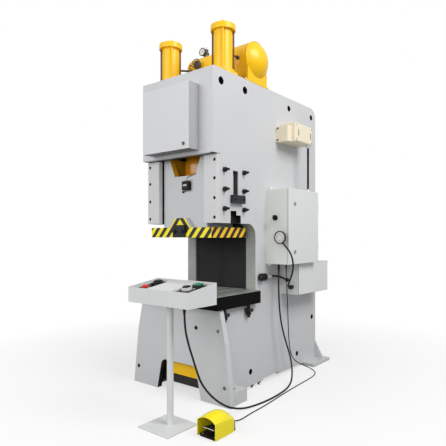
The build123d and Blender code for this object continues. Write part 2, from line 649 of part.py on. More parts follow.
def flywheel():
    wheel = along_depth(0.0, PINION_Z, *FLYWHEEL_DEPTHS, FLYWHEEL_RADIUS)
    for d0, d1 in ((FLYWHEEL_DEPTHS[0] - 1.0, FLYWHEEL_DEPTHS[0] + 50.0), (FLYWHEEL_DEPTHS[1] - 50.0, FLYWHEEL_DEPTHS[1] + 1.0)):
        wheel -= ring(0.0, PINION_Z, d0, d1, 265.0, 100.0)
    for depth in groove_depths():
        wheel -= ring(0.0, PINION_Z, depth, depth + 15.0, FLYWHEEL_RADIUS + 5.0, FLYWHEEL_RADIUS - GROOVE_DEEP)
    wheel -= along_depth(0.0, PINION_Z, 1100.0, 1320.0, PINION_JOURNAL + RUNNING_GAP)
    put("flywheel", wheel)


# Belts: closed loops round the flywheel and the motor pulley.
PULLEY_RADIUS = 78.0


def belt_loop(depth, outer_gap, inner_gap):
    loops = []
    for gap in (outer_gap, inner_gap):
        big = FLYWHEEL_RADIUS - GROOVE_DEEP + gap
        small = PULLEY_RADIUS - GROOVE_DEEP + gap
        distance = PINION_Z - MOTOR_Z
        lean = math.asin((big - small) / distance)
        right_big = (big * math.cos(lean), PINION_Z - big * math.sin(lean))
        right_small = (small * math.cos(lean), MOTOR_Z - small * math.sin(lean))
        left_big = (-right_big[0], right_big[1])
        left_small = (-right_small[0], right_small[1])
        edge = Polyline(right_small, right_big) + ThreePointArc(right_big, (0.0, PINION_Z + big), left_big)
        edge += Polyline(left_big, left_small) + ThreePointArc(left_small, (0.0, MOTOR_Z - small), right_small)
        face = Plane.XZ.offset(-y_at(depth + 13.0)) * make_face(edge)
        loops.append(extrude(face, 11.0))
    return loops[0] - loops[1]


def drive_belts():
    put("drive_belts", *[belt_loop(depth, GROOVE_DEEP + 1.0, 1.0) for depth in groove_depths()])


# Motor: a finned body on the shelf, and the grooved pulley on its shaft.
MOTOR_DEPTHS = (760.0, 1080.0)


def motor():
    body = along_depth(0.0, MOTOR_Z, *MOTOR_DEPTHS, 118.0)
    for step in range(18):
        angle = 20.0 * step
        fin = Pos(0.0, y_at(915.0), MOTOR_Z) * Rot(0, angle, 0) * Pos(124.0, 0.0, 0.0) * Box(22.0, 230.0, 5.0)
        body += fin
    body += along_depth(0.0, MOTOR_Z, 730.0, 790.0, 134.0)
    body += along_depth(0.0, MOTOR_Z, 1050.0, 1084.0, 134.0)
    for x in (-96.0, 96.0):
        body += block(x - 24.0, x + 24.0, 820.0, 1010.0, 1215.0, MOTOR_Z - 80.0)
    body += block(110.0, 190.0, 860.0, 980.0, MOTOR_Z + 20.0, MOTOR_Z + 110.0)
    put("motor", body)


def motor_pulley():
    pulley = along_depth(0.0, MOTOR_Z, FLYWHEEL_DEPTHS[0] + 20.0, FLYWHEEL_DEPTHS[1] - 20.0, PULLEY_RADIUS)
    for depth in groove_depths():
        pulley -= ring(0.0, MOTOR_Z, depth, depth + 15.0, PULLEY_RADIUS + 5.0, PULLEY_RADIUS - GROOVE_DEEP)
    pulley += along_depth(0.0, MOTOR_Z, 1085.0, 1160.0, 24.0)
    put("motor_pulley", pulley)


# Balance cylinders: barrels on the frame's top with caps held down by tie rods.
BARREL_RADIUS = 80.0
BARREL_BORE = 70.0
TIE_CIRCLE = 88.5
CAP_THICK = 50.0


def balance_cylinders():
    pieces = []
    cap_bottom = BALANCER_TOP - CAP_THICK
    base = upright(BALANCER_X, BALANCER_DEPTH, FRAME_HEIGHT, 2736.0, 98.0)
    base += block(BALANCER_X - 88.0, BALANCER_X + 88.0, BALANCER_DEPTH - 88.0, BALANCER_DEPTH + 88.0, FRAME_HEIGHT, 2722.0)
    barrel = base + upright(BALANCER_X, BALANCER_DEPTH, 2730.0, cap_bottom, BARREL_RADIUS)
    barrel -= upright(BALANCER_X, BALANCER_DEPTH, 2740.0, cap_bottom + 1.0, BARREL_BORE)
    barrel -= upright(BALANCER_X, BALANCER_DEPTH, 2690.0, 2745.0, 21.0)
    pieces.extend(both_sides(barrel))
    cap = upright(BALANCER_X, BALANCER_DEPTH, cap_bottom, BALANCER_TOP, 106.0)
    cap = fillet(cap.edges().group_by(Axis.Z)[-1], 8.0)
    cap += upright(BALANCER_X, BALANCER_DEPTH, BALANCER_TOP, BALANCER_TOP + 14.0, 13.0)
    for angle in (0.0, 90.0, 180.0, 270.0):
        turn = math.radians(angle + 38.0)
        x = BALANCER_X + TIE_CIRCLE * math.cos(turn)
        depth = BALANCER_DEPTH + TIE_CIRCLE * math.sin(turn)
        cap += upright(x, depth, 2736.0, cap_bottom + 1.0, 7.5)
    pieces.extend(both_sides(cap))
    put("balance_cylinders", *pieces)


# Air tank: a welded cylinder with domed ends, lying across the frame's top on two saddles.
TANK_X = (-295.0, 400.0)
DOME_LENGTH = 82.0


def air_tank():
    x0, x1 = TANK_X
    middle = (x0 + x1) / 2.0
    half = (x1 - x0) / 2.0
    crown = (TANK_RADIUS ** 2 + DOME_LENGTH ** 2) / (2.0 * DOME_LENGTH)
    middle_angle = math.asin(TANK_RADIUS / crown) / 2.0
    reach = half + DOME_LENGTH - crown + crown * math.cos(middle_angle)
    rise = crown * math.sin(middle_angle)
    line = Polyline((-half, TANK_RADIUS), (half, TANK_RADIUS))
    right_cap = ThreePointArc((half, TANK_RADIUS), (reach, rise), (half + DOME_LENGTH, 0.0))
    left_cap = ThreePointArc((-half - DOME_LENGTH, 0.0), (-reach, rise), (-half, TANK_RADIUS))
    axis_line = Polyline((half + DOME_LENGTH, 0.0), (-half - DOME_LENGTH, 0.0))
    face = make_face(left_cap + line + right_cap + axis_line)
    tank = Pos(middle, y_at(TANK_DEPTH), TANK_Z) * revolve(face, Axis.X, 360.0)
    saddle = [(478.0, FRAME_HEIGHT), (772.0, FRAME_HEIGHT), (772.0, 2822.0), (478.0, 2822.0)]
    for x in (x0 - 8.0, x1 - 5.0):
        tank += side_plate(saddle, x, x + 16.0)
    tank += upright(-200.0, TANK_DEPTH, TANK_Z + TANK_RADIUS - 10.0, TANK_Z + TANK_RADIUS + 14.0, 18.0)
    tank += along_depth(-140.0, 2950.0, 440.0, 480.0, 12.0)
    put("air_tank", tank)


# Tank fittings: the relief valve on the top boss, and the pressure gauge on the front boss.
def tank_fittings():
    base_z = TANK_Z + TANK_RADIUS + 14.0
    valve = hexagon(Plane((-200.0, y_at(TANK_DEPTH), base_z)), 40.0, 24.0)
    valve += upright(-200.0, TANK_DEPTH, base_z + 24.0, base_z + 34.0, 30.0)
    valve += upright(-200.0, TANK_DEPTH, base_z + 34.0, base_z + 72.0, 22.0)
    gauge = along_depth(-140.0, 2950.0, 412.0, 440.0, 36.0)
    gauge = fillet(gauge.edges().group_by(Axis.Y)[0], 4.0)
    put("tank_fittings", valve, gauge)


# Front cover: a folded box that hinges on its left edge, with a quarter-turn lock.
COVER = (-268.0, 265.0, -121.0, -2.0, 2039.0, 2574.0)
SHEET = 3.0
LOCK_X = 208.0
LOCK_Z = 2082.0


def front_cover():
    x0, x1, d0, d1, z0, z1 = COVER
    cover = block(*COVER)
    cover = fillet(cover.edges().filter_by(Axis.Z).group_by(Axis.Y)[0], 6.0)
    cover -= block(x0 + SHEET, x1 - SHEET, d0 + SHEET, d1 + 5.0, z0 + SHEET, z1 - SHEET)
    for z in (z0 + 90.0, z1 - 90.0):
        cover += upright(x0 - 5.0, d1 - 7.0, z - 35.0, z + 35.0, 6.0)
    cover -= along_depth(LOCK_X, LOCK_Z, d0 - 5.0, d0 + 10.0, 9.0 + RUNNING_GAP)
    put("front_cover", cover)


def cover_lock():
    d0 = COVER[2]
    lock = along_depth(LOCK_X, LOCK_Z, d0 - 6.0, d0, 14.0)
    lock += along_depth(LOCK_X, LOCK_Z, d0, d0 + 24.0, 9.0)
    lock += block(LOCK_X - 10.0, LOCK_X + 34.0, d0 + 18.0, d0 + 22.0, LOCK_Z - 8.0, LOCK_Z + 8.0)
    lock += block(LOCK_X - 3.0, LOCK_X + 3.0, d0 - 14.0, d0 - 6.0, LOCK_Z - 12.0, LOCK_Z + 12.0)
    put("cover_lock", lock)


# Cabinet: a folded steel box open to the right, a door hinged on its rear edge, its locks,
# the isolator on the front wall, and the switchgear on a mounting plate.
DOOR_GAP = 3.0
DOOR_THICK = 16.0
HINGE = (648.0, 1319.0)
HINGE_HEIGHTS = (1238.0, 1618.0)
KNUCKLE_RADIUS = 6.0
HINGE_PIN_RADIUS = 3.0
ISOLATOR = (515.0, 1508.0)
LOCK_HEIGHTS = (1633.0, 1200.0)
LOCK_DEPTH = 862.0
CABINET_WALL = 4.0
CONSOLE_GLAND = (472.0, 880.0)
PEDAL_GLAND = (520.0, 935.0)
CONDUIT = (562.0, 1277.0)


def cabinet_body():
    x0, x1, d0, d1, z0, z1 = CABINET
    edge = x1 - DOOR_THICK - DOOR_GAP
    body = block(x0, edge, d0, d1, z0, z1)
    body -= block(x0 + CABINET_WALL, edge + 5.0, d0 + CABINET_WALL, d1 - CABINET_WALL, z0 + CABINET_WALL, z1 - CABINET_WALL)
    body -= along_depth(*ISOLATOR, d0 - 5.0, d0 + 10.0, 7.0 + RUNNING_GAP)
    for z in HINGE_HEIGHTS:
        body += upright(*HINGE, z - 32.0, z - 0.5, KNUCKLE_RADIUS)
        body += upright(*HINGE, z - 1.0, z + 22.0, HINGE_PIN_RADIUS)
        body += block(602.0, HINGE[0], d1, d1 + 3.0, z - 32.0, z - 0.5)
        body += block(HINGE[0] - 9.0, HINGE[0], d1, HINGE[1], z - 32.0, z - 0.5)
    put("cabinet_body", body)


def cabinet_gear():
    x0, x1, d0, d1, z0, z1 = CABINET
    plate = block(x0 + 22.0, x0 + 25.0, d0 + 30.0, d1 - 30.0, z0 + 40.0, z1 - 40.0)
    for depth, z in ((d0 + 60.0, z0 + 60.0), (d1 - 60.0, z0 + 60.0), (d0 + 60.0, z1 - 60.0), (d1 - 60.0, z1 - 60.0)):
        plate += along_width(depth, z, x0 + CABINET_WALL, x0 + 22.0, 8.0)
    face = x0 + 25.0
    for depth, wide, low, high, deep in ((d0 + 60.0, 120.0, z0 + 430.0, z0 + 600.0, 110.0),
                                         (d0 + 210.0, 90.0, z0 + 450.0, z0 + 580.0, 80.0),
                                         (d0 + 330.0, 150.0, z0 + 430.0, z0 + 610.0, 95.0),
                                         (d0 + 70.0, 380.0, z0 + 80.0, z0 + 130.0, 45.0)):
        plate += block(face, face + deep, depth, depth + wide, low, high)
    for step in range(6):
        depth = d0 + 66.0 + 66.0 * step
        plate += block(face, face + 78.0, depth, depth + 46.0, z0 + 250.0, z0 + 340.0)
    put("cabinet_gear", plate)


def cabinet_door():
    x0, x1, d0, d1, z0, z1 = CABINET
    door = block(x1 - DOOR_THICK, x1, d0, d1, z0, z1)
    door = fillet(door.edges().group_by(Axis.X)[-1], 3.0)
    door -= block(x1 - DOOR_THICK - 1.0, x1 - SHEET, d0 + SHEET, d1 - SHEET, z0 + SHEET, z1 - SHEET)
    for z in LOCK_HEIGHTS:
        door -= along_width(LOCK_DEPTH, z, x1 - 10.0, x1 + 5.0, 9.0 + RUNNING_GAP)
    for z in HINGE_HEIGHTS:
        door += upright(*HINGE, z + 0.5, z + 32.0, KNUCKLE_RADIUS)
        door += block(HINGE[0], HINGE[0] + 5.5, d1 - 2.0, HINGE[1], z + 0.5, z + 32.0)
        door -= upright(*HINGE, z, z + 23.0, HINGE_PIN_RADIUS + RUNNING_GAP)
    put("cabinet_door", door)


def door_locks():
    x1 = CABINET[1]
    for name, z in zip(("door_lock_upper", "door_lock_lower"), LOCK_HEIGHTS):
        lock = along_width(LOCK_DEPTH, z, x1 - 20.0, x1, 9.0)
        lock += along_width(LOCK_DEPTH, z, x1, x1 + 6.0, 14.0)
        lock += block(x1 + 6.0, x1 + 12.0, LOCK_DEPTH - 3.0, LOCK_DEPTH + 3.0, z - 11.0, z + 11.0)
        lock += block(x1 - 19.0, x1 - 15.5, LOCK_DEPTH - 8.0, LOCK_DEPTH + 8.0, z - 38.0, z + 8.0)
        put(name, lock)


def isolator_knob():
    x, z = ISOLATOR
    d0 = CABINET[2]
    knob = along_depth(x, z, d0 - 10.0, d0, 24.0)
    knob += along_depth(x, z, d0, d0 + 30.0, 7.0)
    knob += along_depth(x, z, d0 - 26.0, d0 - 10.0, 18.0)
    knob += block(x - 5.0, x + 5.0, d0 - 40.0, d0 - 26.0, z - 22.0, z + 22.0)
    put("isolator_knob", knob)


# Terminal box: a closed steel box below and behind the cabinet, with a screwed lid.
def terminal_box():
    x0, x1, d0, d1, z0, z1 = TERMINAL_BOX
    box = block(x0, x1 - 6.0, d0, d1, z0, z1)
    box -= block(x0 + CABINET_WALL, x1 - 5.0, d0 + CABINET_WALL, d1 - CABINET_WALL, z0 + CABINET_WALL, z1 - CABINET_WALL)
    lid = block(x1 - 6.0, x1, d0, d1, z0, z1)
    lid = chamfer(lid.edges().group_by(Axis.X)[-1], 2.0)
    for depth in (d0 + 14.0, d1 - 14.0):
        for z in (z0 + 14.0, z1 - 14.0):
            lid += along_width(depth, z, x1, x1 + 3.0, 6.0)
    put("terminal_box", box, lid)


# Cam switch box: a cast box and its smaller front end, high on the right side.
def cam_box():
    body = block(HALF_WIDTH, 580.0, 1005.0, 1330.0, 2236.0, 2412.0)
    body = fillet(body.edges().group_by(Axis.X)[-1], 14.0)
    end = block(HALF_WIDTH, 548.0, 931.0, 1005.0, 2230.0, 2376.0)
    end = fillet(end.edges().filter_by(Axis.Z).sort_by(Axis.X)[-2:], 18.0)
    box = body + end
    for z in (2252.0, 2354.0):
        box += along_depth(428.0, z, 925.0, 931.0, 8.0)
    put("cam_box", box)


def conduit():
    x, depth = CONDUIT
    tube = upright(x, depth, CABINET[5], 2236.0, 8.0)
    tube += upright(x, depth, CABINET[5], CABINET[5] + 18.0, 14.0)
    tube += upright(x, depth, 2214.0, 2236.0, 14.0)
    put("conduit", tube)


# Tubes: straight runs joined by tangent arcs, each as large as its two runs allow.
def route_radii(points):
    corners = [Vector(*p) for p in points]
    radii = []
    for before, here, after in zip(corners, corners[1:], corners[2:]):
        arriving = here - before
        leaving = after - here
        turn = math.radians(arriving.get_angle(leaving))
        shorter = min(arriving.length, leaving.length)
        radii.append(0.45 * shorter / math.tan(turn / 2.0))
    return radii


def tube_along(name, points, radius):
    radii = route_radii(points)
    path = FilletPolyline(*points, radius=radii)
    start = Plane(origin=points[0], z_dir=Vector(*points[1]) - Vector(*points[0]))
    tube = sweep(start * Circle(radius), path=path)
    share = tube.volume / (math.pi * radius * radius * path.length)
    print(name, "length", round(path.length), "smallest bend", round(min(radii)), "volume share", round(share, 4))
    print(name, "bends", [round(r) for r in radii])
    return tube


# Air inlet: a ribbed hand coupling and sleeve on a bracket, and the hose to the terminal box.
def air_inlet():
    x, z = 447.0, 974.0
    coupling = along_depth(x, z, 622.0, 688.0, 26.0)
    for step in range(5):
        coupling += along_depth(x, z, 626.0 + 13.0 * step, 633.0 + 13.0 * step, 34.0)
    sleeve = along_depth(x, z, 688.0, 776.0, 17.0)
    bracket = block(HALF_WIDTH, x, 712.0, 732.0, z - 14.0, z + 14.0)
    end = TERMINAL_BOX[2]
    points = [(x, y_at(774.0), z), (x + 1.0, y_at(845.0), z - 1.0), (x + 8.0, y_at(920.0), z - 12.0),
              (x + 22.0, y_at(980.0), z - 34.0), (x + 29.0, y_at(end), z - 50.0)]
    hose = tube_along("air hose", points, 10.0)
    flange = along_depth(x + 29.0, z - 50.0, end - 14.0, end, 18.0)
    behind = block(x - 40.0, x + 90.0, end, end + 60.0, z - 120.0, z)
    put("air_inlet", coupling + sleeve + bracket, hose - sleeve - flange - behind, flange)


# Work lamp: a foot on the terminal box, a flexible neck and a flat round head.
LAMP_HEAD = (600.0, 700.0, 1330.0)


def work_lamp():
    foot_x = 526.0
    foot_z = 859.0
    face = TERMINAL_BOX[2]
    foot = along_depth(foot_x, foot_z, face - 34.0, face, 20.0)
    head_x, head_depth, head_z = LAMP_HEAD
    points = [(foot_x, y_at(face - 32.0), foot_z), (foot_x + 14.0, y_at(930.0), 872.0), (590.0, y_at(868.0), 920.0),
              (655.0, y_at(800.0), 985.0), (706.0, y_at(744.0), 1060.0), (720.0, y_at(712.0), 1140.0),
              (698.0, y_at(690.0), 1215.0), (650.0, y_at(688.0), 1262.0), (head_x + 24.0, y_at(head_depth), head_z - 40.0)]
    neck = tube_along("lamp neck", points, 7.0)
    head_plane = Plane((head_x, y_at(head_depth + 6.0), head_z), x_dir=(1, 0, 0), z_dir=(0, -1, 0))
    head = extrude(head_plane * Circle(58.0), 18.0)
    head = fillet(head.edges().group_by(Axis.Y)[-1], 6.0)
    head -= extrude(head_plane.offset(12.0) * Circle(49.0), 10.0)
    put("work_lamp", foot + neck + head)


# Console: a stand with a square foot, a folded tray with side walls that rise to the rear,
# a sloping deck, and the buttons and the selector on it.
TRAY = (CONSOLE_X - 295.0, CONSOLE_X + 295.0, CONSOLE_DEPTH - 144.0, CONSOLE_DEPTH + 144.0)
TRAY_FRONT_TOP = 978.0
TRAY_REAR_TOP = 1022.0
POST_X = 412.0
POST_DEPTH = -468.0
TRAY_SLOPE = math.degrees(math.atan2(TRAY_REAR_TOP - TRAY_FRONT_TOP, TRAY[3] - TRAY[2]))
DECK_DROP = 26.0
CABLE_EXIT = (562.0, -480.0)


def console_stand():
    foot = block(258.0, 558.0, -636.0, -336.0, 0.0, 8.0)
    foot = chamfer(foot.edges().group_by(Axis.Z)[-1], 2.0)
    post = upright(POST_X, POST_DEPTH, 8.0, TRAY_BOTTOM - 6.0, 24.0)
    head = block(POST_X - 80.0, POST_X + 80.0, POST_DEPTH - 80.0, POST_DEPTH + 80.0, TRAY_BOTTOM - 6.0, TRAY_BOTTOM)
    put("console_stand", foot + post + head)


def console_tray():
    x0, x1, d0, d1 = TRAY
    profile = [(d0, TRAY_BOTTOM), (d1, TRAY_BOTTOM), (d1, TRAY_REAR_TOP), (d0, TRAY_FRONT_TOP)]
    inner = [(d0 + SHEET, TRAY_BOTTOM + SHEET), (d1 - SHEET, TRAY_BOTTOM + SHEET), (d1 - SHEET, TRAY_REAR_TOP + 20.0),
             (d0 + SHEET, TRAY_FRONT_TOP + 20.0)]
    tray = side_plate(profile, x0, x1) - side_plate(inner, x0 + SHEET, x1 - SHEET)
    tray -= upright(*CABLE_EXIT, TRAY_BOTTOM - 5.0, TRAY_BOTTOM + 5.0, 10.0)
    put("console_tray", tray)


def deck_plane(x, depth, lift):
    slope = math.tan(math.radians(TRAY_SLOPE))
    surface = TRAY_FRONT_TOP - DECK_DROP + (depth - TRAY[2]) * slope
    tilt = math.radians(TRAY_SLOPE)
    plane = Plane((x, y_at(depth), surface), x_dir=(1, 0, 0), z_dir=(0, -math.sin(tilt), math.cos(tilt)))
    return plane.offset(lift)


def deck_disc(x, depth, low, high, radius):
    return extrude(deck_plane(x, depth, low) * Circle(radius), high - low)


STOP_BUTTON = (245.0, -550.0)
PALM_LEFT = (205.0, -390.0)
PALM_RIGHT = (610.0, -390.0)
INCH_BUTTON = (575.0, -470.0)
SELECTOR = (235.0, -470.0)
PANEL_X = (290.0, 532.0)
BUTTONS = (STOP_BUTTON, PALM_LEFT, PALM_RIGHT, INCH_BUTTON, SELECTOR)
STEM_RADIUS = 8.0


def console_panel():
    x0, x1, d0, d1 = TRAY
    middle = (d0 + d1) / 2.0
    wide = x1 - x0 - 2.0 * SHEET - 2.0
    long = (d1 - d0 - 2.0 * SHEET - 4.0) / math.cos(math.radians(TRAY_SLOPE))
    centre = (x0 + x1) / 2.0
    deck = extrude(deck_plane(centre, middle, -4.0) * Rectangle(wide, long), 4.0)
    for x, depth in (PALM_LEFT, PALM_RIGHT, INCH_BUTTON):
        deck += deck_disc(x, depth, 0.0, 20.0, 37.0) - deck_disc(x, depth, -1.0, 21.0, 32.0)
    for x, depth in (STOP_BUTTON, SELECTOR):
        deck += deck_disc(x, depth, 0.0, 6.0, 20.0)
    raised = deck_plane((PANEL_X[0] + PANEL_X[1]) / 2.0, middle, 0.0) * Rectangle(PANEL_X[1] - PANEL_X[0], 226.0)
    deck += extrude(raised, 14.0)
    for x, depth in BUTTONS:
        deck -= deck_disc(x, depth, -10.0, 30.0, STEM_RADIUS + RUNNING_GAP)
    put("console_panel", deck)


def push_button(name, place, head_low, head_high, head_radius):
    x, depth = place
    stem = deck_disc(x, depth, -14.0, head_low + 1.0, STEM_RADIUS)
    head = deck_disc(x, depth, head_low, head_high, head_radius)
    head = fillet(head.edges().group_by(Axis.Z)[-1], min(6.0, (head_high - head_low) * 0.6))
    put(name, stem + head)


def console_buttons():
    push_button("stop_button", STOP_BUTTON, 14.0, 32.0, 22.0)
    push_button("palm_button_left", PALM_LEFT, 10.0, 27.0, 29.0)
    push_button("palm_button_right", PALM_RIGHT, 10.0, 27.0, 29.0)
    push_button("inch_button", INCH_BUTTON, 10.0, 27.0, 29.0)
    x, depth = SELECTOR
    knob = deck_disc(x, depth, -14.0, 7.0, STEM_RADIUS) + deck_disc(x, depth, 6.5, 16.0, 15.0)
    knob += extrude(deck_plane(x, depth, 15.0) * Rectangle(7.0, 28.0), 12.0)
    put("selector_knob", knob)


# Foot pedal: a black base, a bright hood open at the front, and a sprung treadle.
PEDAL_HALF = 80.0
PEDAL_REAR = -262.0
BASE_REAR = -236.0
HOOD_WALL = 4.0
TREADLE_PIVOT = (-292.0, 34.0)


def pedal_base():
    base = block(PEDAL_X - PEDAL_HALF + 10.0, PEDAL_X + PEDAL_HALF - 10.0, PEDAL_MOUTH + 6.0, BASE_REAR, 0.0, 14.0)
    base = fillet(base.edges().filter_by(Axis.Z), 10.0)
    base += block(PEDAL_X - 62.0, PEDAL_X + 62.0, -276.0, BASE_REAR, 14.0, 62.0)
    for side in (-1.0, 1.0):
        x = PEDAL_X + side * 58.0
        base += block(x - 4.0, x + 4.0, TREADLE_PIVOT[0] - 14.0, -275.0, 14.0, 48.0)
    base -= along_width(*TREADLE_PIVOT, PEDAL_X - 70.0, PEDAL_X + 70.0, 5.0 + RUNNING_GAP)
    base += along_depth(PEDAL_X + 18.0, 34.0, BASE_REAR, BASE_REAR + 22.0, 11.0) - along_depth(
        PEDAL_X + 18.0, 34.0, BASE_REAR + 10.0, BASE_REAR + 30.0, PEDAL_CABLE_RADIUS)
    put("pedal_base", base)


def hood_solid(side, front, rear, lower):
    left = PEDAL_X - side
    right = PEDAL_X + side
    low = [(left, y_at(front), lower), (right, y_at(front), lower), (right, y_at(rear), lower), (left, y_at(rear), lower)]
    return low


def arch_face(depth, half, shoulder, crown):
    left = PEDAL_X - half
    right = PEDAL_X + half
    lower = 2.0
    line = Polyline((left, lower), (right, lower), (right, shoulder))
    top = ThreePointArc((right, shoulder), (PEDAL_X, crown), (left, shoulder))
    face = make_face(line + top + Polyline((left, shoulder), (left, lower)))
    return Plane.XZ.offset(-y_at(depth)) * face


def pedal_hood():
    stations = ((PEDAL_MOUTH, 81.0, 112.0, 142.0), (-380.0, 81.0, 108.0, 158.0), (-300.0, 80.0, 96.0, 142.0),
                (PEDAL_REAR, 76.0, 84.0, 112.0))
    outer = loft([arch_face(*s) for s in stations])
    inner = loft([arch_face(d, half - HOOD_WALL, shoulder - HOOD_WALL, crown - HOOD_WALL) for d, half, shoulder, crown in
                  ((PEDAL_MOUTH - 0.5, 81.0, 112.0, 142.0), (-380.0, 81.0, 108.0, 158.0), (-300.0, 80.0, 96.0, 142.0),
                   (PEDAL_REAR + 0.5, 76.0, 84.0, 112.0))])
    hood = outer - inner
    hood -= block(PEDAL_X - 100.0, PEDAL_X + 100.0, -600.0, -200.0, -5.0, 3.0)
    put("pedal_hood", hood)


def pedal_treadle():
    depth, z = TREADLE_PIVOT
    plate = [(-440.0, 52.0), (-440.0, 58.0), (depth - 8.0, 42.0), (depth - 8.0, 30.0)]
    treadle = side_plate(plate, PEDAL_X - 50.0, PEDAL_X + 50.0)
    treadle += along_width(depth, z, PEDAL_X - 52.0, PEDAL_X + 52.0, 9.0)
    treadle += along_width(depth, z, PEDAL_X - 61.0, PEDAL_X + 61.0, 5.0)
    for step in range(5):
        d = -430.0 + 24.0 * step
        top = 58.0 - 16.0 * (d + 440.0) / 140.0
        treadle += block(PEDAL_X - 46.0, PEDAL_X + 46.0, d, d + 8.0, top - 4.0, top + 3.0)
    put("pedal_treadle", treadle)


# Cable glands: under the tray and under the cabinet.
def gland(x, depth, face_z, radius):
    nut = hexagon(Plane((x, y_at(depth), face_z - 10.0)), 2.6 * radius + 6.0, 10.0)
    cone = upright(x, depth, face_z - 26.0, face_z - 10.0, radius + 3.0)
    bore = upright(x, depth, face_z - 30.0, face_z - 8.0, radius)
    return nut + cone - bore


def cable_glands():
    bottom = CABINET[4]
    put("cable_glands", gland(*CABLE_EXIT, TRAY_BOTTOM, CONSOLE_CABLE_RADIUS),
        gland(*CONSOLE_GLAND, bottom, CONSOLE_CABLE_RADIUS), gland(*PEDAL_GLAND, bottom, PEDAL_CABLE_RADIUS))


# Free cables, as (across, depth, height) points from the console and the pedal to the cabinet.
CONSOLE_ROUTE = [
    (562.0, -480.0, 862.0), (562.0, -480.0, 790.0), (560.0, -468.0, 690.0), (562.0, -438.0, 588.0),
    (567.0, -400.0, 488.0), (577.0, -372.0, 396.0), (592.0, -346.0, 312.0), (606.0, -306.0, 250.0),
    (616.0, -258.0, 195.0), (624.0, -190.0, 136.0), (630.0, -84.0, 68.0), (637.0, 18.0, 28.0),
    (653.0, 112.0, 9.0), (676.0, 215.0, 7.6), (689.0, 330.0, 7.6), (692.0, 450.0, 7.6),
    (683.0, 580.0, 7.6), (666.0, 700.0, 7.6), (638.0, 816.0, 20.0), (612.0, 886.0, 62.0),
    (588.0, 924.0, 130.0), (562.0, 936.0, 228.0), (541.0, 912.0, 330.0), (524.0, 880.0, 440.0),
    (508.0, 858.0, 560.0), (497.0, 850.0, 690.0), (486.0, 858.0, 820.0), (476.0, 872.0, 940.0),
    (472.0, 880.0, 1020.0), (472.0, 880.0, 1080.0),
]
PEDAL_ROUTE = [
    (770.0, -216.0, 34.0), (770.0, -186.0, 34.0), (764.0, -140.0, 20.0), (752.0, -76.0, 7.0),
    (742.0, 6.0, 4.6), (736.0, 100.0, 4.6), (735.0, 196.0, 4.6), (729.0, 300.0, 4.6),
    (721.0, 410.0, 4.6), (710.0, 520.0, 4.6), (702.0, 636.0, 4.6), (694.0, 750.0, 4.6),
    (688.0, 862.0, 4.6), (684.0, 970.0, 4.6), (680.0, 1074.0, 4.6), (672.0, 1164.0, 4.6),
    (656.0, 1244.0, 4.8), (622.0, 1310.0, 7.0), (570.0, 1345.0, 16.0), (520.0, 1318.0, 40.0),
    (500.0, 1248.0, 74.0), (500.0, 1160.0, 116.0), (503.0, 1082.0, 170.0), (505.0, 1030.0, 245.0),
    (505.0, 1010.0, 345.0), (506.0, 997.0, 455.0), (508.0, 986.0, 570.0), (510.0, 976.0, 690.0),
    (513.0, 960.0, 810.0), (518.0, 943.0, 920.0), (520.0, 935.0, 1010.0), (520.0, 935.0, 1080.0),
]


def free_cables():
    for name, route, radius in (("console_cable", CONSOLE_ROUTE, CONSOLE_CABLE_RADIUS),
                                ("pedal_cable", PEDAL_ROUTE, PEDAL_CABLE_RADIUS)):
        points = [(x, y_at(depth), z) for x, depth, z in route]
        put(name, tube_along(name, points, radius))


def build_all():
    side_frames()
    head_shell()
    inner_walls()
    throat_cover()
    bed_plate()
    base_front_plate()
    floor_feet()
    rear_cover()
    scrap_chute()
    bolster()
    gib_guides()
    gib_plates()
    frame_bolts()
    stroke_stops()
    ram()
    shank_clamp()
    height_indicator()
    balance_rods()
    crankshaft()
    shaft_bearings()
    main_gear()
    pinion_shaft()
    connecting_rod()
    adjusting_screw()
    clutch_brake()
    flywheel()
    drive_belts()
    motor()
    motor_pulley()
    balance_cylinders()
    air_tank()
    tank_fittings()
    front_cover()
    cover_lock()
    cabinet_body()
    cabinet_gear()
    cabinet_door()
    door_locks()
    isolator_knob()
    terminal_box()
    cam_box()
    conduit()
    air_inlet()
    work_lamp()
    console_stand()
    console_tray()
    console_panel()
    console_buttons()
    pedal_base()
    pedal_hood()
    pedal_treadle()
    cable_glands()
    free_cables()


build_all()
os.makedirs("parts", exist_ok=True)
for node_name, solids in nodes.items():
    shape = solids[0] if len(solids) == 1 else Compound(children=solids)
    export_step(shape, os.path.join("parts", node_name + ".step"))
print(len(nodes), "nodes")
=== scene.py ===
import math

import bmesh
import bpy
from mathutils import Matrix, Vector


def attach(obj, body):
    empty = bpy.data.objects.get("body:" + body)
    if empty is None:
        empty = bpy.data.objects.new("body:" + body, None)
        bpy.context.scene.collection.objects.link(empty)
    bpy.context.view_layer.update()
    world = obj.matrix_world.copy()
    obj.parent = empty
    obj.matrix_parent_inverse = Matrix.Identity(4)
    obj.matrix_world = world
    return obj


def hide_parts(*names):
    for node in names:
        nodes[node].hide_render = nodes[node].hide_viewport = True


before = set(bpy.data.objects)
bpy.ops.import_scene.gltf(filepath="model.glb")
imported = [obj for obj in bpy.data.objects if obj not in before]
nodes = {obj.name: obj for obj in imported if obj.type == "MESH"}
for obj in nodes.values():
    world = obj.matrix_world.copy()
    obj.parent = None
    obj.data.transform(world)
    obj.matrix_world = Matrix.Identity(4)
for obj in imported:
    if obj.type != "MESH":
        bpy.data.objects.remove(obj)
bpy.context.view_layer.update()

# Camera: it stands at the operator's front right, 1.35 m above the floor, and looks level.
# The head's front plate lies 0.907 m in front of the middle of the floor bolts.
FRONT = -0.907
PHOTO_PIXELS = 446.0
FOCAL_PIXELS = 456.994
SHIFT_PIXELS = 12.29
lens = bpy.data.cameras.new("photo_lens")
lens.sensor_width = 36.0
lens.lens = 36.0 * FOCAL_PIXELS / PHOTO_PIXELS
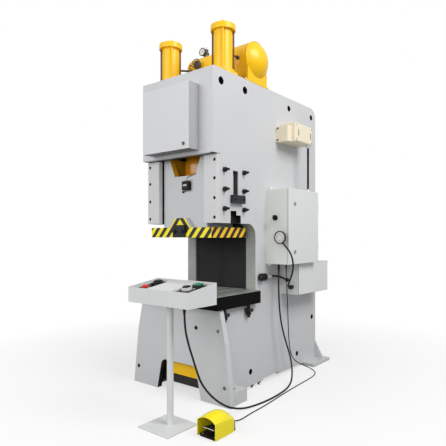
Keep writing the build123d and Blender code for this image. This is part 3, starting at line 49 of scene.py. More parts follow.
lens.shift_y = SHIFT_PIXELS / PHOTO_PIXELS
camera = bpy.data.objects.new("photo_camera", lens)
camera.location = (2.7412, -3.6635, 1.3490)
camera.rotation_euler = (math.radians(90.0), 0.0, 0.67923)
bpy.context.scene.collection.objects.link(camera)
bpy.context.scene.camera = camera

# Free cables: round rubber leads from the console and the pedal. Each drops to the floor, runs
# back beside the frame, and climbs to its gland under the cabinet in one smooth length.
CONSOLE_ROUTE = [
    (562.0, -480.0, 862.0), (562.0, -480.0, 790.0), (560.0, -468.0, 690.0), (562.0, -438.0, 588.0),
    (567.0, -400.0, 488.0), (577.0, -372.0, 396.0), (592.0, -346.0, 312.0), (606.0, -306.0, 250.0),
    (616.0, -258.0, 195.0), (624.0, -190.0, 136.0), (630.0, -84.0, 68.0), (637.0, 18.0, 28.0),
    (653.0, 112.0, 9.0), (676.0, 215.0, 7.6), (689.0, 330.0, 7.6), (692.0, 450.0, 7.6),
    (683.0, 580.0, 7.6), (666.0, 700.0, 7.6), (638.0, 816.0, 20.0), (612.0, 886.0, 62.0),
    (588.0, 924.0, 130.0), (562.0, 936.0, 228.0), (541.0, 912.0, 330.0), (524.0, 880.0, 440.0),
    (508.0, 858.0, 560.0), (497.0, 850.0, 690.0), (486.0, 858.0, 820.0), (476.0, 872.0, 940.0),
    (472.0, 880.0, 1020.0), (472.0, 880.0, 1080.0),
]
PEDAL_ROUTE = [
    (770.0, -216.0, 34.0), (770.0, -186.0, 34.0), (764.0, -140.0, 20.0), (752.0, -76.0, 7.0),
    (742.0, 6.0, 4.6), (736.0, 100.0, 4.6), (735.0, 196.0, 4.6), (729.0, 300.0, 4.6),
    (721.0, 410.0, 4.6), (710.0, 520.0, 4.6), (702.0, 636.0, 4.6), (694.0, 750.0, 4.6),
    (688.0, 862.0, 4.6), (684.0, 970.0, 4.6), (680.0, 1074.0, 4.6), (672.0, 1164.0, 4.6),
    (656.0, 1244.0, 4.8), (622.0, 1310.0, 7.0), (570.0, 1345.0, 16.0), (520.0, 1318.0, 40.0),
    (500.0, 1248.0, 74.0), (500.0, 1160.0, 116.0), (503.0, 1082.0, 170.0), (505.0, 1030.0, 245.0),
    (505.0, 1010.0, 345.0), (506.0, 997.0, 455.0), (508.0, 986.0, 570.0), (510.0, 976.0, 690.0),
    (513.0, 960.0, 810.0), (518.0, 943.0, 920.0), (520.0, 935.0, 1010.0), (520.0, 935.0, 1080.0),
]


def spot(x, depth, z):
    """A place on the press, from millimetres across, back from the head's front, and up."""
    return Vector((x / 1000.0, FRONT + depth / 1000.0, z / 1000.0))


def lead(name, route, radius):
    """A round rubber lead of one smooth curve along its route."""
    curve = bpy.data.curves.new(name, "CURVE")
    curve.dimensions = "3D"
    curve.bevel_depth = 1.0
    curve.bevel_resolution = 4
    curve.resolution_u = 10
    line = curve.splines.new("NURBS")
    line.points.add(len(route) - 1)
    for point, place in zip(line.points, route):
        point.co = (*spot(*place), 1.0)
        point.radius = radius
    line.order_u = 3
    line.use_endpoint_u = True
    thing = bpy.data.objects.new(name, curve)
    bpy.context.scene.collection.objects.link(thing)
    return thing


console_lead = lead("console_lead", CONSOLE_ROUTE, 0.0075)
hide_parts("console_cable")
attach(console_lead, "frame")
pedal_lead = lead("pedal_lead", PEDAL_ROUTE, 0.0045)
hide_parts("pedal_cable")
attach(pedal_lead, "frame")


def wire(tree, source, socket):
    tree.links.new(source, socket)


def feed(tree, value, socket):
    """Gives a socket a plain number, or joins it to another node's output."""
    if isinstance(value, (int, float)):
        socket.default_value = value
    else:
        wire(tree, value, socket)


def clouds(tree, place, scale, detail=4.0, roughness=0.55):
    node = tree.nodes.new("ShaderNodeTexNoise")
    node.inputs["Scale"].default_value = scale
    node.inputs["Detail"].default_value = detail
    node.inputs["Roughness"].default_value = roughness
    wire(tree, place, node.inputs["Vector"])
    return node.outputs["Fac"]


def spread(tree, value, low, high, from_low=0.3, from_high=0.7):
    node = tree.nodes.new("ShaderNodeMapRange")
    node.inputs["From Min"].default_value = from_low
    node.inputs["From Max"].default_value = from_high
    node.inputs["To Min"].default_value = low
    node.inputs["To Max"].default_value = high
    wire(tree, value, node.inputs["Value"])
    return node.outputs["Result"]


def blend_colour(tree, share, first, second):
    node = tree.nodes.new("ShaderNodeMix")
    node.data_type = "RGBA"
    feed(tree, share, node.inputs[0])
    for value, socket in ((first, node.inputs[6]), (second, node.inputs[7])):
        if isinstance(value, tuple):
            socket.default_value = (*value, 1.0)
        else:
            wire(tree, value, socket)
    return node.outputs[2]


def tint(colour, factor):
    return tuple(min(1.0, channel * factor) for channel in colour)


class Finish:
    """One procedural finish: its node tree, its shader, and the place and facing it reads."""

    def __init__(self, name, metallic=0.0, coat=0.0, shine=0.5):
        self.material = bpy.data.materials.new(name)
        self.material.use_nodes = True
        self.tree = self.material.node_tree
        self.shader = self.tree.nodes["Principled BSDF"]
        self.shader.inputs["Metallic"].default_value = metallic
        self.shader.inputs["Coat Weight"].default_value = coat
        self.shader.inputs["Coat Roughness"].default_value = 0.15
        self.shader.inputs["Specular IOR Level"].default_value = shine
        self.place = self.tree.nodes.new("ShaderNodeTexCoord").outputs["Object"]
        parts = self.tree.nodes.new("ShaderNodeSeparateXYZ")
        wire(self.tree, self.place, parts.inputs[0])
        self.x, self.y, self.z = parts.outputs
        turned_to = self.tree.nodes.new("ShaderNodeNewGeometry").outputs["True Normal"]
        facing = self.tree.nodes.new("ShaderNodeSeparateXYZ")
        wire(self.tree, turned_to, facing.inputs[0])
        self.facing_x, self.facing_y, self.facing_z = facing.outputs

    def drifting(self, colour, drift, scale=2.5):
        patches = clouds(self.tree, self.place, scale, 5.0)
        share = spread(self.tree, patches, 0.0, 1.0)
        return blend_colour(self.tree, share, tint(colour, 1.0 - drift), tint(colour, 1.0 + drift))

    def colour(self, value):
        wire(self.tree, value, self.shader.inputs["Base Color"])

    def over(self, share, colour):
        """Lays another colour over the part of the piece where the share is one."""
        under = self.shader.inputs["Base Color"].links[0].from_socket
        self.colour(blend_colour(self.tree, share, under, colour))

    def rough(self, low, high, scale=9.0):
        value = spread(self.tree, clouds(self.tree, self.place, scale, 3.0), low, high)
        wire(self.tree, value, self.shader.inputs["Roughness"])

    def bumpy(self, strength, scale, distance=0.0006, detail=2.0, stretch=None):
        place = self.place
        if stretch:
            mapping = self.tree.nodes.new("ShaderNodeMapping")
            mapping.inputs["Scale"].default_value = stretch
            wire(self.tree, place, mapping.inputs["Vector"])
            place = mapping.outputs["Vector"]
        self.raised(clouds(self.tree, place, scale, detail), strength, distance)

    def raised(self, height, strength, distance):
        bump = self.tree.nodes.new("ShaderNodeBump")
        bump.inputs["Strength"].default_value = strength
        bump.inputs["Distance"].default_value = distance
        wire(self.tree, height, bump.inputs["Height"])
        wire(self.tree, bump.outputs["Normal"], self.shader.inputs["Normal"])


def moulded(name, colour, rough=(0.35, 0.5), grain=0.15, coat=0.0, shine=0.35):
    finish = Finish(name, coat=coat, shine=shine)
    finish.colour(finish.drifting(colour, 0.06, 20.0))
    finish.rough(*rough, scale=40.0)
    finish.bumpy(grain, 700.0, 0.0003)
    return finish


def rim(shape, middle, aim, radius, sides, start=0.0):
    """One ring of corners round a middle, in the plane that the turn called aim faces."""
    ring = []
    for step in range(sides):
        angle = start + 2.0 * math.pi * step / sides
        outward = Vector((radius * math.cos(angle), radius * math.sin(angle), 0.0)) / 1000.0
        ring.append(shape.verts.new(middle + aim @ outward))
    return ring


def turned(shape, foot, along, profile, sides=24, start=0.0):
    """Turns a profile of (radius, height) in millimetres round an axis, as a lathe does."""
    aim = Vector(along).to_track_quat("Z", "X")
    rings = []
    for radius, height in profile:
        middle = foot + aim @ Vector((0.0, 0.0, height / 1000.0))
        if radius < 0.01:
            rings.append([shape.verts.new(middle)])
        else:
            rings.append(rim(shape, middle, aim, radius, sides, start))
    for low, high in zip(rings, rings[1:]):
        for step in range(sides):
            after = (step + 1) % sides
            corners = (low[step % len(low)], low[after % len(low)],
                       high[after % len(high)], high[step % len(high)])
            shape.faces.new(list(dict.fromkeys(corners)))


def join_rims(shape):
    """Joins the first and last rims of turned rings, whose profiles end where they began."""
    bmesh.ops.remove_doubles(shape, verts=shape.verts, dist=0.00001)


def made(name, shape, finish, body="frame", smooth=35.0):
    """Makes a piece from its shape, gives it its finish, and fixes it to the body it moves with."""
    bmesh.ops.recalc_face_normals(shape, faces=shape.faces)
    mesh = bpy.data.meshes.new(name)
    shape.to_mesh(mesh)
    shape.free()
    for face in mesh.polygons:
        face.use_smooth = True
    mesh.set_sharp_from_angle(angle=math.radians(smooth))
    mesh.materials.append(finish.material)
    thing = bpy.data.objects.new(name, mesh)
    bpy.context.scene.collection.objects.link(thing)
    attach(thing, body)


cable_rubber = moulded("cable_rubber", (0.007, 0.007, 0.008), (0.35, 0.5), 0.2)
for cord in (console_lead, pedal_lead):
    cord.data.materials.append(cable_rubber.material)
for name in ("console_cable", "pedal_cable"):
    nodes[name].data.materials.clear()
    nodes[name].data.materials.append(cable_rubber.material)

# Bend sleeves: tapered, ringed rubber sleeves that keep each lead from kinking where it
# leaves the console, a gland or the pedal.
SLEEVE_RINGS = 6
SLEEVE_WALL = 5.0
sleeves = bmesh.new()
for place, along, bore, length in (((562.0, -480.0, 845.0), (0, 0, -1), 7.5, 44.0),
                                   ((472.0, 880.0, 1063.0), (0, 0, -1), 7.5, 44.0),
                                   ((520.0, 935.0, 1063.0), (0, 0, -1), 4.5, 34.0),
                                   ((770.0, -218.0, 34.0), (0, 1, 0), 4.5, 30.0)):
    profile = [(bore + 0.4, 0.0), (bore + SLEEVE_WALL, 0.0)]
    for ring in range(SLEEVE_RINGS):
        low = length * (0.08 + 0.92 * ring / SLEEVE_RINGS)
        thick = bore + SLEEVE_WALL - 3.6 * ring / SLEEVE_RINGS
        profile += [(thick, low), (thick - 1.3, low + 1.0), (thick - 1.3, low + 3.0),
                    (thick - 0.6, low + 4.0)]
    profile += [(bore + 0.4, length), (bore + 0.4, 0.0)]
    turned(sleeves, spot(*place), along, profile, 20)
join_rims(sleeves)
made("bend_sleeves", sleeves, cable_rubber)

# Side frames: two C-shaped steel plates, 40 mm thick, flame cut, welded and sprayed light grey.
# The machined edges round the throat are a duller, darker grey-green. The inner faces, the hole
# walls, the stepped notch above the throat and the underside of the head's step carry painted
# shade, near black, and the bolt brackets are painted black.
FRAME_GREY = (0.600, 0.604, 0.612)
THROAT_GREY_GREEN = (0.36, 0.38, 0.345)
PAINTED_SHADE_INSIDE = (0.030, 0.030, 0.030)
BLACK_PAINT_AND_SHADE = (0.010, 0.010, 0.010)
SIDE_OUTER = 411.0
SIDE_INNER = 371.0
HOLES = ((105.0, 2600.0, 32.5), (432.0, 2600.0, 32.5), (1165.0, 2600.0, 28.0), (1623.0, 2600.0, 28.0),
         (515.0, 152.0, 25.0), (1324.0, 151.0, 25.0), (1639.0, 481.0, 25.0))


def sums(tree, operation, a, b=0.0):
    node = tree.nodes.new("ShaderNodeMath")
    node.operation = operation
    feed(tree, a, node.inputs[0])
    feed(tree, b, node.inputs[1])
    return node.outputs[0]


def times(tree, first, *others):
    """A product. Of shares that are nought or one, it is the part where all of them hold."""
    product = first
    for factor in others:
        product = sums(tree, "MULTIPLY", product, factor)
    return product


def plus(tree, a, b):
    return sums(tree, "ADD", a, b)


def less(tree, a, b):
    return sums(tree, "SUBTRACT", a, b)


def above(tree, value, limit):
    return sums(tree, "GREATER_THAN", value, limit)


def below(tree, value, limit):
    return sums(tree, "LESS_THAN", value, limit)


def within(tree, value, low, high):
    return times(tree, above(tree, value, low), below(tree, value, high))


def magnitude(tree, value):
    return sums(tree, "ABSOLUTE", value)


def radial(tree, across, up):
    """How far a point lies from an axis, worked out from its two offsets."""
    return sums(tree, "SQRT", plus(tree, sums(tree, "POWER", across, 2.0), sums(tree, "POWER", up, 2.0)))


def weathered(finish, colour, drift=0.02):
    """Sprayed paint: faint cloudy drift, and a little dust towards the floor."""
    low = spread(finish.tree, finish.z, 1.0, 0.0, 0.0, 0.45)
    patches = spread(finish.tree, clouds(finish.tree, finish.place, 7.0, 6.0), 0.0, 0.35)
    dust = times(finish.tree, low, patches)
    return blend_colour(finish.tree, dust, finish.drifting(colour, drift), tint(colour, 0.86))


def sprayed(name, colour, rough=(0.40, 0.52), drift=0.02, peel=0.12, coat=0.0, shine=0.4):
    finish = Finish(name, coat=coat, shine=shine)
    finish.colour(weathered(finish, colour, drift))
    finish.rough(*rough)
    finish.bumpy(peel, 260.0)
    return finish


def dress(finish, *names, smooth=32.0):
    """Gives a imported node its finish, and rounds the shading over its gentle edges."""
    for name in names:
        node = nodes[name]
        node.data.materials.clear()
        node.data.materials.append(finish.material)
        for face in node.data.polygons:
            face.use_smooth = True
        node.data.set_sharp_from_angle(angle=math.radians(smooth))


side_paint = sprayed("side_frame_paint", FRAME_GREY, shine=0.5)
t = side_paint.tree
sideways = magnitude(t, side_paint.x)
edgeways = below(t, magnitude(t, side_paint.facing_x), 0.5)
# Painted shade: the inner faces, which face into the frame, are painted near black.
inner_face = times(t, below(t, sideways, (SIDE_INNER + 0.5) / 1000.0), less(t, 1.0, edgeways))
side_paint.over(inner_face, PAINTED_SHADE_INSIDE)
in_throat = times(t, within(t, side_paint.y, FRONT + 0.096, FRONT + 0.6125),
                  within(t, side_paint.z, 0.7555, 1.4715), below(t, sideways, (SIDE_OUTER - 0.2) / 1000.0))
side_paint.over(in_throat, side_paint.drifting(THROAT_GREY_GREEN, 0.10, 12.0))
# The bolt brackets are painted black. The notch's edges and the underside of the head's step get painted
# shade in the same black.
brackets = times(t, above(t, sideways, (SIDE_OUTER + 0.8) / 1000.0), below(t, side_paint.z, 0.80))
notch = times(t, within(t, side_paint.y, FRONT + 0.2295, FRONT + 0.3705),
              within(t, side_paint.z, 1.4495, 1.5540), edgeways)
head_step = times(t, below(t, side_paint.facing_z, -0.7), within(t, side_paint.z, 2.005, 2.015))
for share in (brackets, notch, head_step):
    side_paint.over(share, BLACK_PAINT_AND_SHADE)
# Painted shade: the walls of the through holes are painted near black.
for depth, height, radius in HOLES:
    off_depth = less(t, side_paint.y, FRONT + depth / 1000.0)
    off_height = less(t, side_paint.z, height / 1000.0)
    in_hole = below(t, radial(t, off_depth, off_height), radius / 1000.0 + 0.001)
    side_paint.over(times(t, in_hole, edgeways), BLACK_PAINT_AND_SHADE)
dress(side_paint, "side_frame_left", "side_frame_right")

# Head shell, inner walls, bed and feet: thick plates welded between and under the side frames,
# sprayed grey outside, with painted shade, near black, inside. The inner walls, the bed and the
# small levelling pads under the side frames' raised edges are near black all over. Rippled welds
# show round the feet and the bolt brackets.


def heading(line, index):
    """The way a line runs at one of its points."""
    return line[min(index + 1, len(line) - 1)] - line[max(index - 1, 0)]


def skin(shape, rings):
    """Closes a row of rings into one skin, with a flat face over each end."""
    for low, high in zip(rings, rings[1:]):
        for step in range(len(low)):
            after = (step + 1) % len(low)
            shape.faces.new((low[step], low[after], high[after], high[step]))
    shape.faces.new(rings[0])
    shape.faces.new(rings[-1])


WELD_STEP = 0.006


def bead(shape, places, radius, closed=False):
    """Lays a rippled weld bead along straight runs between places, in millimetres."""
    corners = [spot(*place) for place in places]
    if closed:
        corners.append(corners[0])
    line = []
    for here, there in zip(corners, corners[1:]):
        steps = max(2, int((there - here).length / WELD_STEP))
        line += [here.lerp(there, step / steps) for step in range(steps)]
    line.append(corners[-1])
    rings = []
    for index, point in enumerate(line):
        ripple = 1.0 + 0.14 * math.sin(index * 2.1) + 0.06 * math.sin(index * 0.37)
        if index in (0, len(line) - 1):
            ripple = 0.35
        rings.append(rim(shape, point, heading(line, index).to_track_quat("Z", "X"), radius * ripple, 6))
    skin(shape, rings)


def block(shape, x0, x1, d0, d1, z0, z1, chamfer=0.0):
    """A plate or bar between two corners, its edges broken by a small chamfer."""
    made_box = bmesh.ops.create_cube(shape, size=1.0)
    middle = (spot(x0, d0, z0) + spot(x1, d1, z1)) / 2.0
    size = spot(x1, d1, z1) - spot(x0, d0, z0)
    for corner in made_box["verts"]:
        corner.co = middle + Vector(a * b for a, b in zip(corner.co, size))
    if chamfer:
        edges = list({edge for corner in made_box["verts"] for edge in corner.link_edges})
        bmesh.ops.bevel(shape, geom=edges, offset=chamfer / 1000.0, segments=2, affect="EDGES", profile=0.5)


frame_grey = sprayed("frame_grey", FRAME_GREY)
dress(frame_grey, "floor_feet")
head_paint = sprayed("head_paint", FRAME_GREY)
t = head_paint.tree
# Painted shade: the inside of the head shell is painted near black.
head_paint.over(times(t, within(t, head_paint.y, FRONT + 0.0395, FRONT + 1.6785),
                      below(t, head_paint.z, 2.6605)), PAINTED_SHADE_INSIDE)
dress(head_paint, "head_shell")
# Painted shade: the inner walls and the bed, deep inside the frame, are painted near black all over, and so
# are the levelling pads.
painted_shade_near_black = sprayed("painted_shade_near_black", PAINTED_SHADE_INSIDE, (0.5, 0.65), 0.1, 0.2, 0.0, 0.25)
dress(painted_shade_near_black, "inner_walls", "bed_plate")
frame_welds = bmesh.new()
for side in (-1.0, 1.0):
    wall = side * SIDE_OUTER
    bead(frame_welds, [(wall, 83.0, 105.0), (wall, 271.0, 105.0), (wall, 271.0, 4.0)], 4.5)
    bead(frame_welds, [(wall, 1692.0, 222.0), (wall, 1692.0, 32.0)], 4.0)
    bead(frame_welds, [(side * 415.0, 1694.0, 31.0), (side * 516.0, 1694.0, 31.0)], 4.0)
    bead(frame_welds, [(wall, 1462.0, 31.0), (wall, 1694.0, 31.0)], 4.5)
    for depth in (120.0, 450.0):
        bead(frame_welds, [(wall, depth - 33.0, 691.0), (wall, depth + 33.0, 691.0)], 3.5)
        for edge in (depth - 33.0, depth + 33.0):
            bead(frame_welds, [(wall, edge, 691.0), (wall, edge, 717.0)], 3.0)
made("frame_welds", frame_welds, frame_grey)
levelling = bmesh.new()
for middle in (-391.0, 391.0):
    for depth in (560.0, 668.0):
        block(levelling, middle - 12.0, middle + 12.0, depth - 20.0, depth + 20.0, 14.0, 29.9, 2.0)
        turned(levelling, spot(middle, depth, 14.0), (0, 0, -1),
               [(0.0, 0.0), (7.0, 0.0), (7.0, 12.6), (11.0, 12.6), (11.0, 13.6), (0.0, 13.6)], 16)
made("levelling_pads", levelling, painted_shade_near_black)

# Base front plate: a tapered plate with an arch for the scrap, welded across the bed's front.
# The arch's thick inner edge carries painted shade, near black, and spare holes are closed with black or grey
# plugs.
base_paint = sprayed("base_front_paint", FRAME_GREY, shine=0.5)
t = base_paint.tree
# Painted shade: the faces inside the arch that do not face forward or back are painted near black.
base_paint.over(times(t, below(t, magnitude(t, base_paint.facing_y), 0.5),
                      below(t, magnitude(t, base_paint.x), 0.262), within(t, base_paint.z, 0.001, 0.27)),
                (0.008, 0.008, 0.008))
dress(base_paint, "base_front_plate")
black_plastic = moulded("black_plastic", (0.008, 0.008, 0.009), shine=0.25)
plug_grey = moulded("plug_grey", (0.16, 0.16, 0.16), (0.35, 0.5), 0.1)
for name, finish, slot, holes in (
        ("black_plugs", black_plastic, "black_plastic",
         ((205.0, 588.0, 13.0, 17.0), (-505.0, 151.0, 11.0, 17.0))),
        ("grey_plugs", plug_grey, "dark_paint",
         ((438.0, 588.0, 10.0, 14.0), (505.0, 151.0, 11.0, 16.0)))):
    plugs = bmesh.new()
    for x, z, bore, flange in holes:
        turned(plugs, spot(x, 32.0, z), (0, -1, 0),
               [(0.0, -9.0), (bore - 0.4, -9.0), (bore - 0.4, 0.0), (flange, 0.0), (flange, 1.6),
                (flange - 1.6, 2.6), (flange * 0.6, 2.8), (flange * 0.5, 1.2), (0.0, 1.2)], 28)
    made(name, plugs, finish)

# Throat cover: two folded sheets in matt black that close the frame behind the throat, each
# held by button screws along its edges, with a strip over the middle joint.
black_paint = sprayed("black_paint", (0.016, 0.016, 0.016), (0.45, 0.6), 0.15, 0.2, 0.0, 0.25)
dress(black_paint, "throat_cover")


def button_screw(shape, place, along, radius):
    turned(shape, spot(*place), along,
           [(0.0, 0.0), (radius, 0.0), (radius * 0.93, radius * 0.28), (radius * 0.70, radius * 0.50),
            (radius * 0.42, radius * 0.56), (radius * 0.40, radius * 0.22), (0.0, radius * 0.22)], 16)


throat_trim = bmesh.new()
block(throat_trim, -17.0, 17.0, 610.2, 612.2, 768.0, 1440.0, 0.5)
for z in (800.0, 960.0, 1120.0, 1280.0, 1425.0):
    for x in (-294.0, 0.0, 294.0):
        button_screw(throat_trim, (x, 611.8 if x else 610.4, z), (0, -1, 0), 6.5)
made("throat_trim", throat_trim, black_paint)

# Rear cover: two folded sheets with pressed louvres over the flywheel and the motor. They are
# sprayed a lighter grey and held along the edges by zinc-plated screws.


def machined(name, colour, rough=(0.28, 0.42), stretch=(40.0, 1.0, 40.0), scale=18.0, metallic=1.0):
    finish = Finish(name, metallic=metallic)
    finish.colour(finish.drifting(colour, 0.08, 14.0))
    finish.rough(*rough, scale=30.0)
    finish.bumpy(0.25, scale, 0.0004, 3.0, stretch)
    return finish


light_grey = sprayed("light_grey", (0.66, 0.665, 0.67), (0.36, 0.48))
dress(light_grey, "rear_cover")
zinc = machined("zinc_plate", (0.62, 0.64, 0.66), (0.3, 0.5), (1.0, 1.0, 1.0), 60.0)


def hex_bolt(shape, place, along, across, height, washer=0.0, stub=0.0):
    """A hexagon head or nut with a broken edge, on a washer, with the bolt's end showing."""
    foot = spot(*place)
    if washer:
        turned(shape, foot, along,
               [(0.0, 0.0), (washer, 0.0), (washer, 1.6), (washer - 0.6, 2.2), (0.0, 2.2)], 24)
        foot = foot + Vector(along).normalized() * 0.0022
    corner = across / math.sqrt(3.0)
    turned(shape, foot, along,
           [(0.0, 0.0), (corner, 0.0), (corner, height * 0.86), (corner * 0.86, height), (0.0, height)], 6)
    if stub:
        thread = across * 0.30
        turned(shape, foot, along,
               [(0.0, height - 1.0), (thread, height - 1.0), (thread, height + stub - 1.0),
                (thread * 0.8, height + stub), (0.0, height + stub)], 16)


cover_screws = bmesh.new()
for z0, z1 in ((1310.0, 2440.0), (70.0, 1290.0)):
    for x in (-372.0, 372.0):
        for step in range(4):
            z = z0 + 30.0 + (z1 - z0 - 60.0) * step / 3.0
            hex_bolt(cover_screws, (x, 1732.0, z), (0, 1, 0), 13.0, 6.0, 9.0)
made("rear_cover_screws", cover_screws, zinc)

# Scrap chute: a folded sheet in amber enamel that carries the slugs from the drop hole down to
# the arch. It hooks over the cross plate.
amber = sprayed("amber_enamel", (0.96, 0.56, 0.006), (0.30, 0.42), 0.03, 0.1, 0.1, 0.35)
dress(amber, "scrap_chute")

# Bolster: a thick cast iron plate, its sides painted black and its top and slots ground bare.
# The marks of the grinder run over the top.
bolster_metal = Finish("bolster_metal", shine=0.08)
t = bolster_metal.tree
on_top = times(t, above(t, bolster_metal.facing_z, 0.6), above(t, bolster_metal.z, 0.8585))
in_slot = times(t, within(t, bolster_metal.z, 0.8240, 0.8645),
                below(t, magnitude(t, bolster_metal.x), 0.4685),
                within(t, bolster_metal.y, FRONT - 0.0140, FRONT + 0.5840))
bolster_metal.colour(blend_colour(t, in_slot, (0.003, 0.003, 0.003), (0.10, 0.105, 0.095)))
bolster_metal.over(on_top, bolster_metal.drifting((0.34, 0.355, 0.325), 0.10, 9.0))
bolster_metal.rough(0.36, 0.5)
wire(t, times(t, on_top, 0.55), bolster_metal.shader.inputs["Metallic"])
bolster_metal.bumpy(0.3, 20.0, 0.0004, 3.0, (40.0, 1.0, 1.0))
dress(bolster_metal, "bolster")

# Gib guides: iron guides that the ram's ears run in, painted near black as shade in the gaps
# beside the ram and behind the side frames' notch. The grey plates in front of them are held by
# socket screws.
# Painted shade: the gib guides are painted near black all over, as the shade in the gaps beside the ram.
gib_guide_shade = moulded("gib_guide_shade_black", (0.010, 0.010, 0.010), (0.5, 0.6), 0.3, shine=0.25)
dress(gib_guide_shade, "gib_guides")
gib_grey = sprayed("gib_grey", (0.625, 0.625, 0.630), (0.36, 0.48))
dress(gib_grey, "gib_plates")

# Frame bolts: black steel studs, nuts and socket screws that hold the gibs and the bolster.
# The free ends of the studs are threaded.
black_steel = Finish("black_steel", shine=0.35)
t = black_steel.tree
black_steel.colour(black_steel.drifting((0.012, 0.012, 0.013), 0.2, 40.0))
black_steel.rough(0.35, 0.5, 60.0)
sideways = magnitude(t, black_steel.x)
stud_thread = times(t, sums(t, "SINE", times(t, sideways, 3600.0)), above(t, sideways, 0.4312))
bolt_thread = times(t, sums(t, "SINE", times(t, black_steel.z, 3000.0)), below(t, black_steel.z, 0.700))
black_steel.raised(plus(t, stud_thread, bolt_thread), 0.6, 0.0008)
dress(black_steel, "frame_bolts")
bolt_washers = bmesh.new()
for side in (-1.0, 1.0):
    for depth in (120.0, 450.0):
        turned(bolt_washers, spot(side * 437.0, depth, 692.0), (0, 0, -1),
               [(13.5, 0.0), (30.0, 0.0), (30.0, 3.0), (13.5, 3.0), (13.5, 0.0)], 28)
join_rims(bolt_washers)
made("bolt_washers", bolt_washers, black_steel)

# Stroke stops: a blackened clamp block on each side with its two screws, and the threaded rod
# that stands in the pocket above it.
stop_steel = Finish("stop_steel", shine=0.4)
t = stop_steel.tree
stop_steel.colour(stop_steel.drifting((0.018, 0.018, 0.020), 0.25, 30.0))
stop_steel.rough(0.32, 0.45, 40.0)
rod_thread = sums(t, "SINE", times(t, stop_steel.z, 2600.0))
on_rod = times(t, above(t, stop_steel.z, 1.695), within(t, stop_steel.y, FRONT + 0.304, FRONT + 0.332))
stop_steel.raised(times(t, rod_thread, on_rod), 0.7, 0.001)
dress(stop_steel, "stroke_stops")


def cap_screw(shape, place, along, radius, height):
    turned(shape, spot(*place), along,
           [(0.0, 0.0), (radius, 0.0), (radius, height - 0.8), (radius - 0.8, height),
            (radius * 0.55, height), (radius * 0.52, height * 0.45), (0.0, height * 0.45)], 20)


stop_screws = bmesh.new()
for side in (-1.0, 1.0):
    for depth in (250.0, 366.0):
        cap_screw(stop_screws, (side * 452.0, depth, 1650.0), (side, 0, 0), 9.0, 9.0)
    hex_bolt(stop_screws, (side * 397.0, 318.0, 1868.0), (0, 0, 1), 30.0, 12.0)
made("stop_screws", stop_screws, stop_steel)

# Ram: a cast slide in light grey. Its tool flange and the hump on it carry slanting yellow and
# black warning bands, which lean the other way on the hump's right flank.
BAND_LEAN = math.radians(50.0)
BAND_PITCH = 0.068
ram_paint = Finish("ram_paint")
t = ram_paint.tree
to_front = above(t, magnitude(t, ram_paint.facing_y), 0.7)
to_side = above(t, magnitude(t, ram_paint.facing_x), 0.7)
flange = below(t, ram_paint.z, 1.4155)
hump = times(t, below(t, ram_paint.y, FRONT + 0.0535), above(t, ram_paint.z, 1.4150))
right_flank = times(t, hump, above(t, ram_paint.x, 0.0))
lean_sign = less(t, 1.0, times(t, right_flank, 2.0))
climb = times(t, ram_paint.z, math.cos(BAND_LEAN))
front_wave = less(t, times(t, ram_paint.x, lean_sign, math.sin(BAND_LEAN)), climb)
side_wave = less(t, times(t, ram_paint.y, math.sin(BAND_LEAN)), climb)
wave = plus(t, times(t, front_wave, to_front), times(t, side_wave, to_side))
dark_band = above(t, sums(t, "FRACT", times(t, plus(t, wave, 10.0), 1.0 / BAND_PITCH)), 0.5)
# Painted shade: on faces turned sideways the bands' yellow is a darker orange than on faces turned forward.
band_yellow_side_shaded = blend_colour(t, to_side, (0.95, 0.80, 0.012), (0.95, 0.55, 0.012))
banded = blend_colour(t, dark_band, band_yellow_side_shaded, (0.014, 0.012, 0.012))
wears_band = sums(t, "MINIMUM", 1.0, plus(t, times(t, flange, plus(t, to_front, to_side)), hump))
in_window = times(t, above(t, ram_paint.y, FRONT + 0.1145), below(t, magnitude(t, ram_paint.x), 0.2530),
                  within(t, ram_paint.z, 1.8350, 2.0290))
ram_paint.colour(ram_paint.drifting((0.56, 0.57, 0.575), 0.02))
ram_paint.over(in_window, (1.0, 0.56, 0.02))
ram_paint.over(wears_band, banded)
ram_paint.rough(0.36, 0.48)
ram_paint.bumpy(0.12, 260.0)
dress(ram_paint, "ram")

# Shank clamp: the black steel block that two bolts draw up on the upper die's shank, with a
# plain washer under each bolt's head.
clamp_steel = moulded("clamp_steel", (0.012, 0.012, 0.016), (0.35, 0.5), 0.3, shine=0.4)
dress(clamp_steel, "shank_clamp")
clamp_washers = bmesh.new()
for x in (-42.0, 42.0):
    turned(clamp_washers, spot(x, 30.5, 1384.0), (0, -1, 0),
           [(8.0, 0.0), (19.0, 0.0), (19.0, 2.0), (8.0, 2.0), (8.0, 0.0)], 24)
join_rims(clamp_washers)
made("clamp_washers", clamp_washers, clamp_steel, "ram")

# Height indicator: a black moulded counter with blank ivory drums behind its window, a small
# setting knob below it, and the thin drive wire that comes out of the ram's window.
ivory = moulded("ivory_plastic", (0.72, 0.70, 0.62), (0.3, 0.4), 0.05)
dress(black_plastic, "height_indicator")
drums = bmesh.new()
for step in range(4):
    turned(drums, spot(4.0 + 10.2 * step, 91.6, 1779.0), (1, 0, 0),
           [(0.0, 0.0), (8.6, 0.0), (9.4, 1.0), (9.4, 8.2), (8.6, 9.2), (0.0, 9.2)], 28)
made("counter_drums", drums, ivory, "ram")
knob = bmesh.new()
turned(knob, spot(-12.0, 113.0, 1723.0), (0, -1, 0),
       [(0.0, 0.0), (9.0, 0.0), (9.0, 2.0), (5.0, 3.0), (5.0, 7.0), (8.0, 8.0), (8.0, 15.0),
        (6.5, 17.0), (0.0, 17.0)], 18)
for x, z in ((-8.0, 1744.0), (56.0, 1744.0), (-8.0, 1806.0), (56.0, 1806.0)):
    cap_screw(knob, (x, 87.0, z), (0, -1, 0), 3.2, 2.6)
made("indicator_knob", knob, black_plastic, "ram")


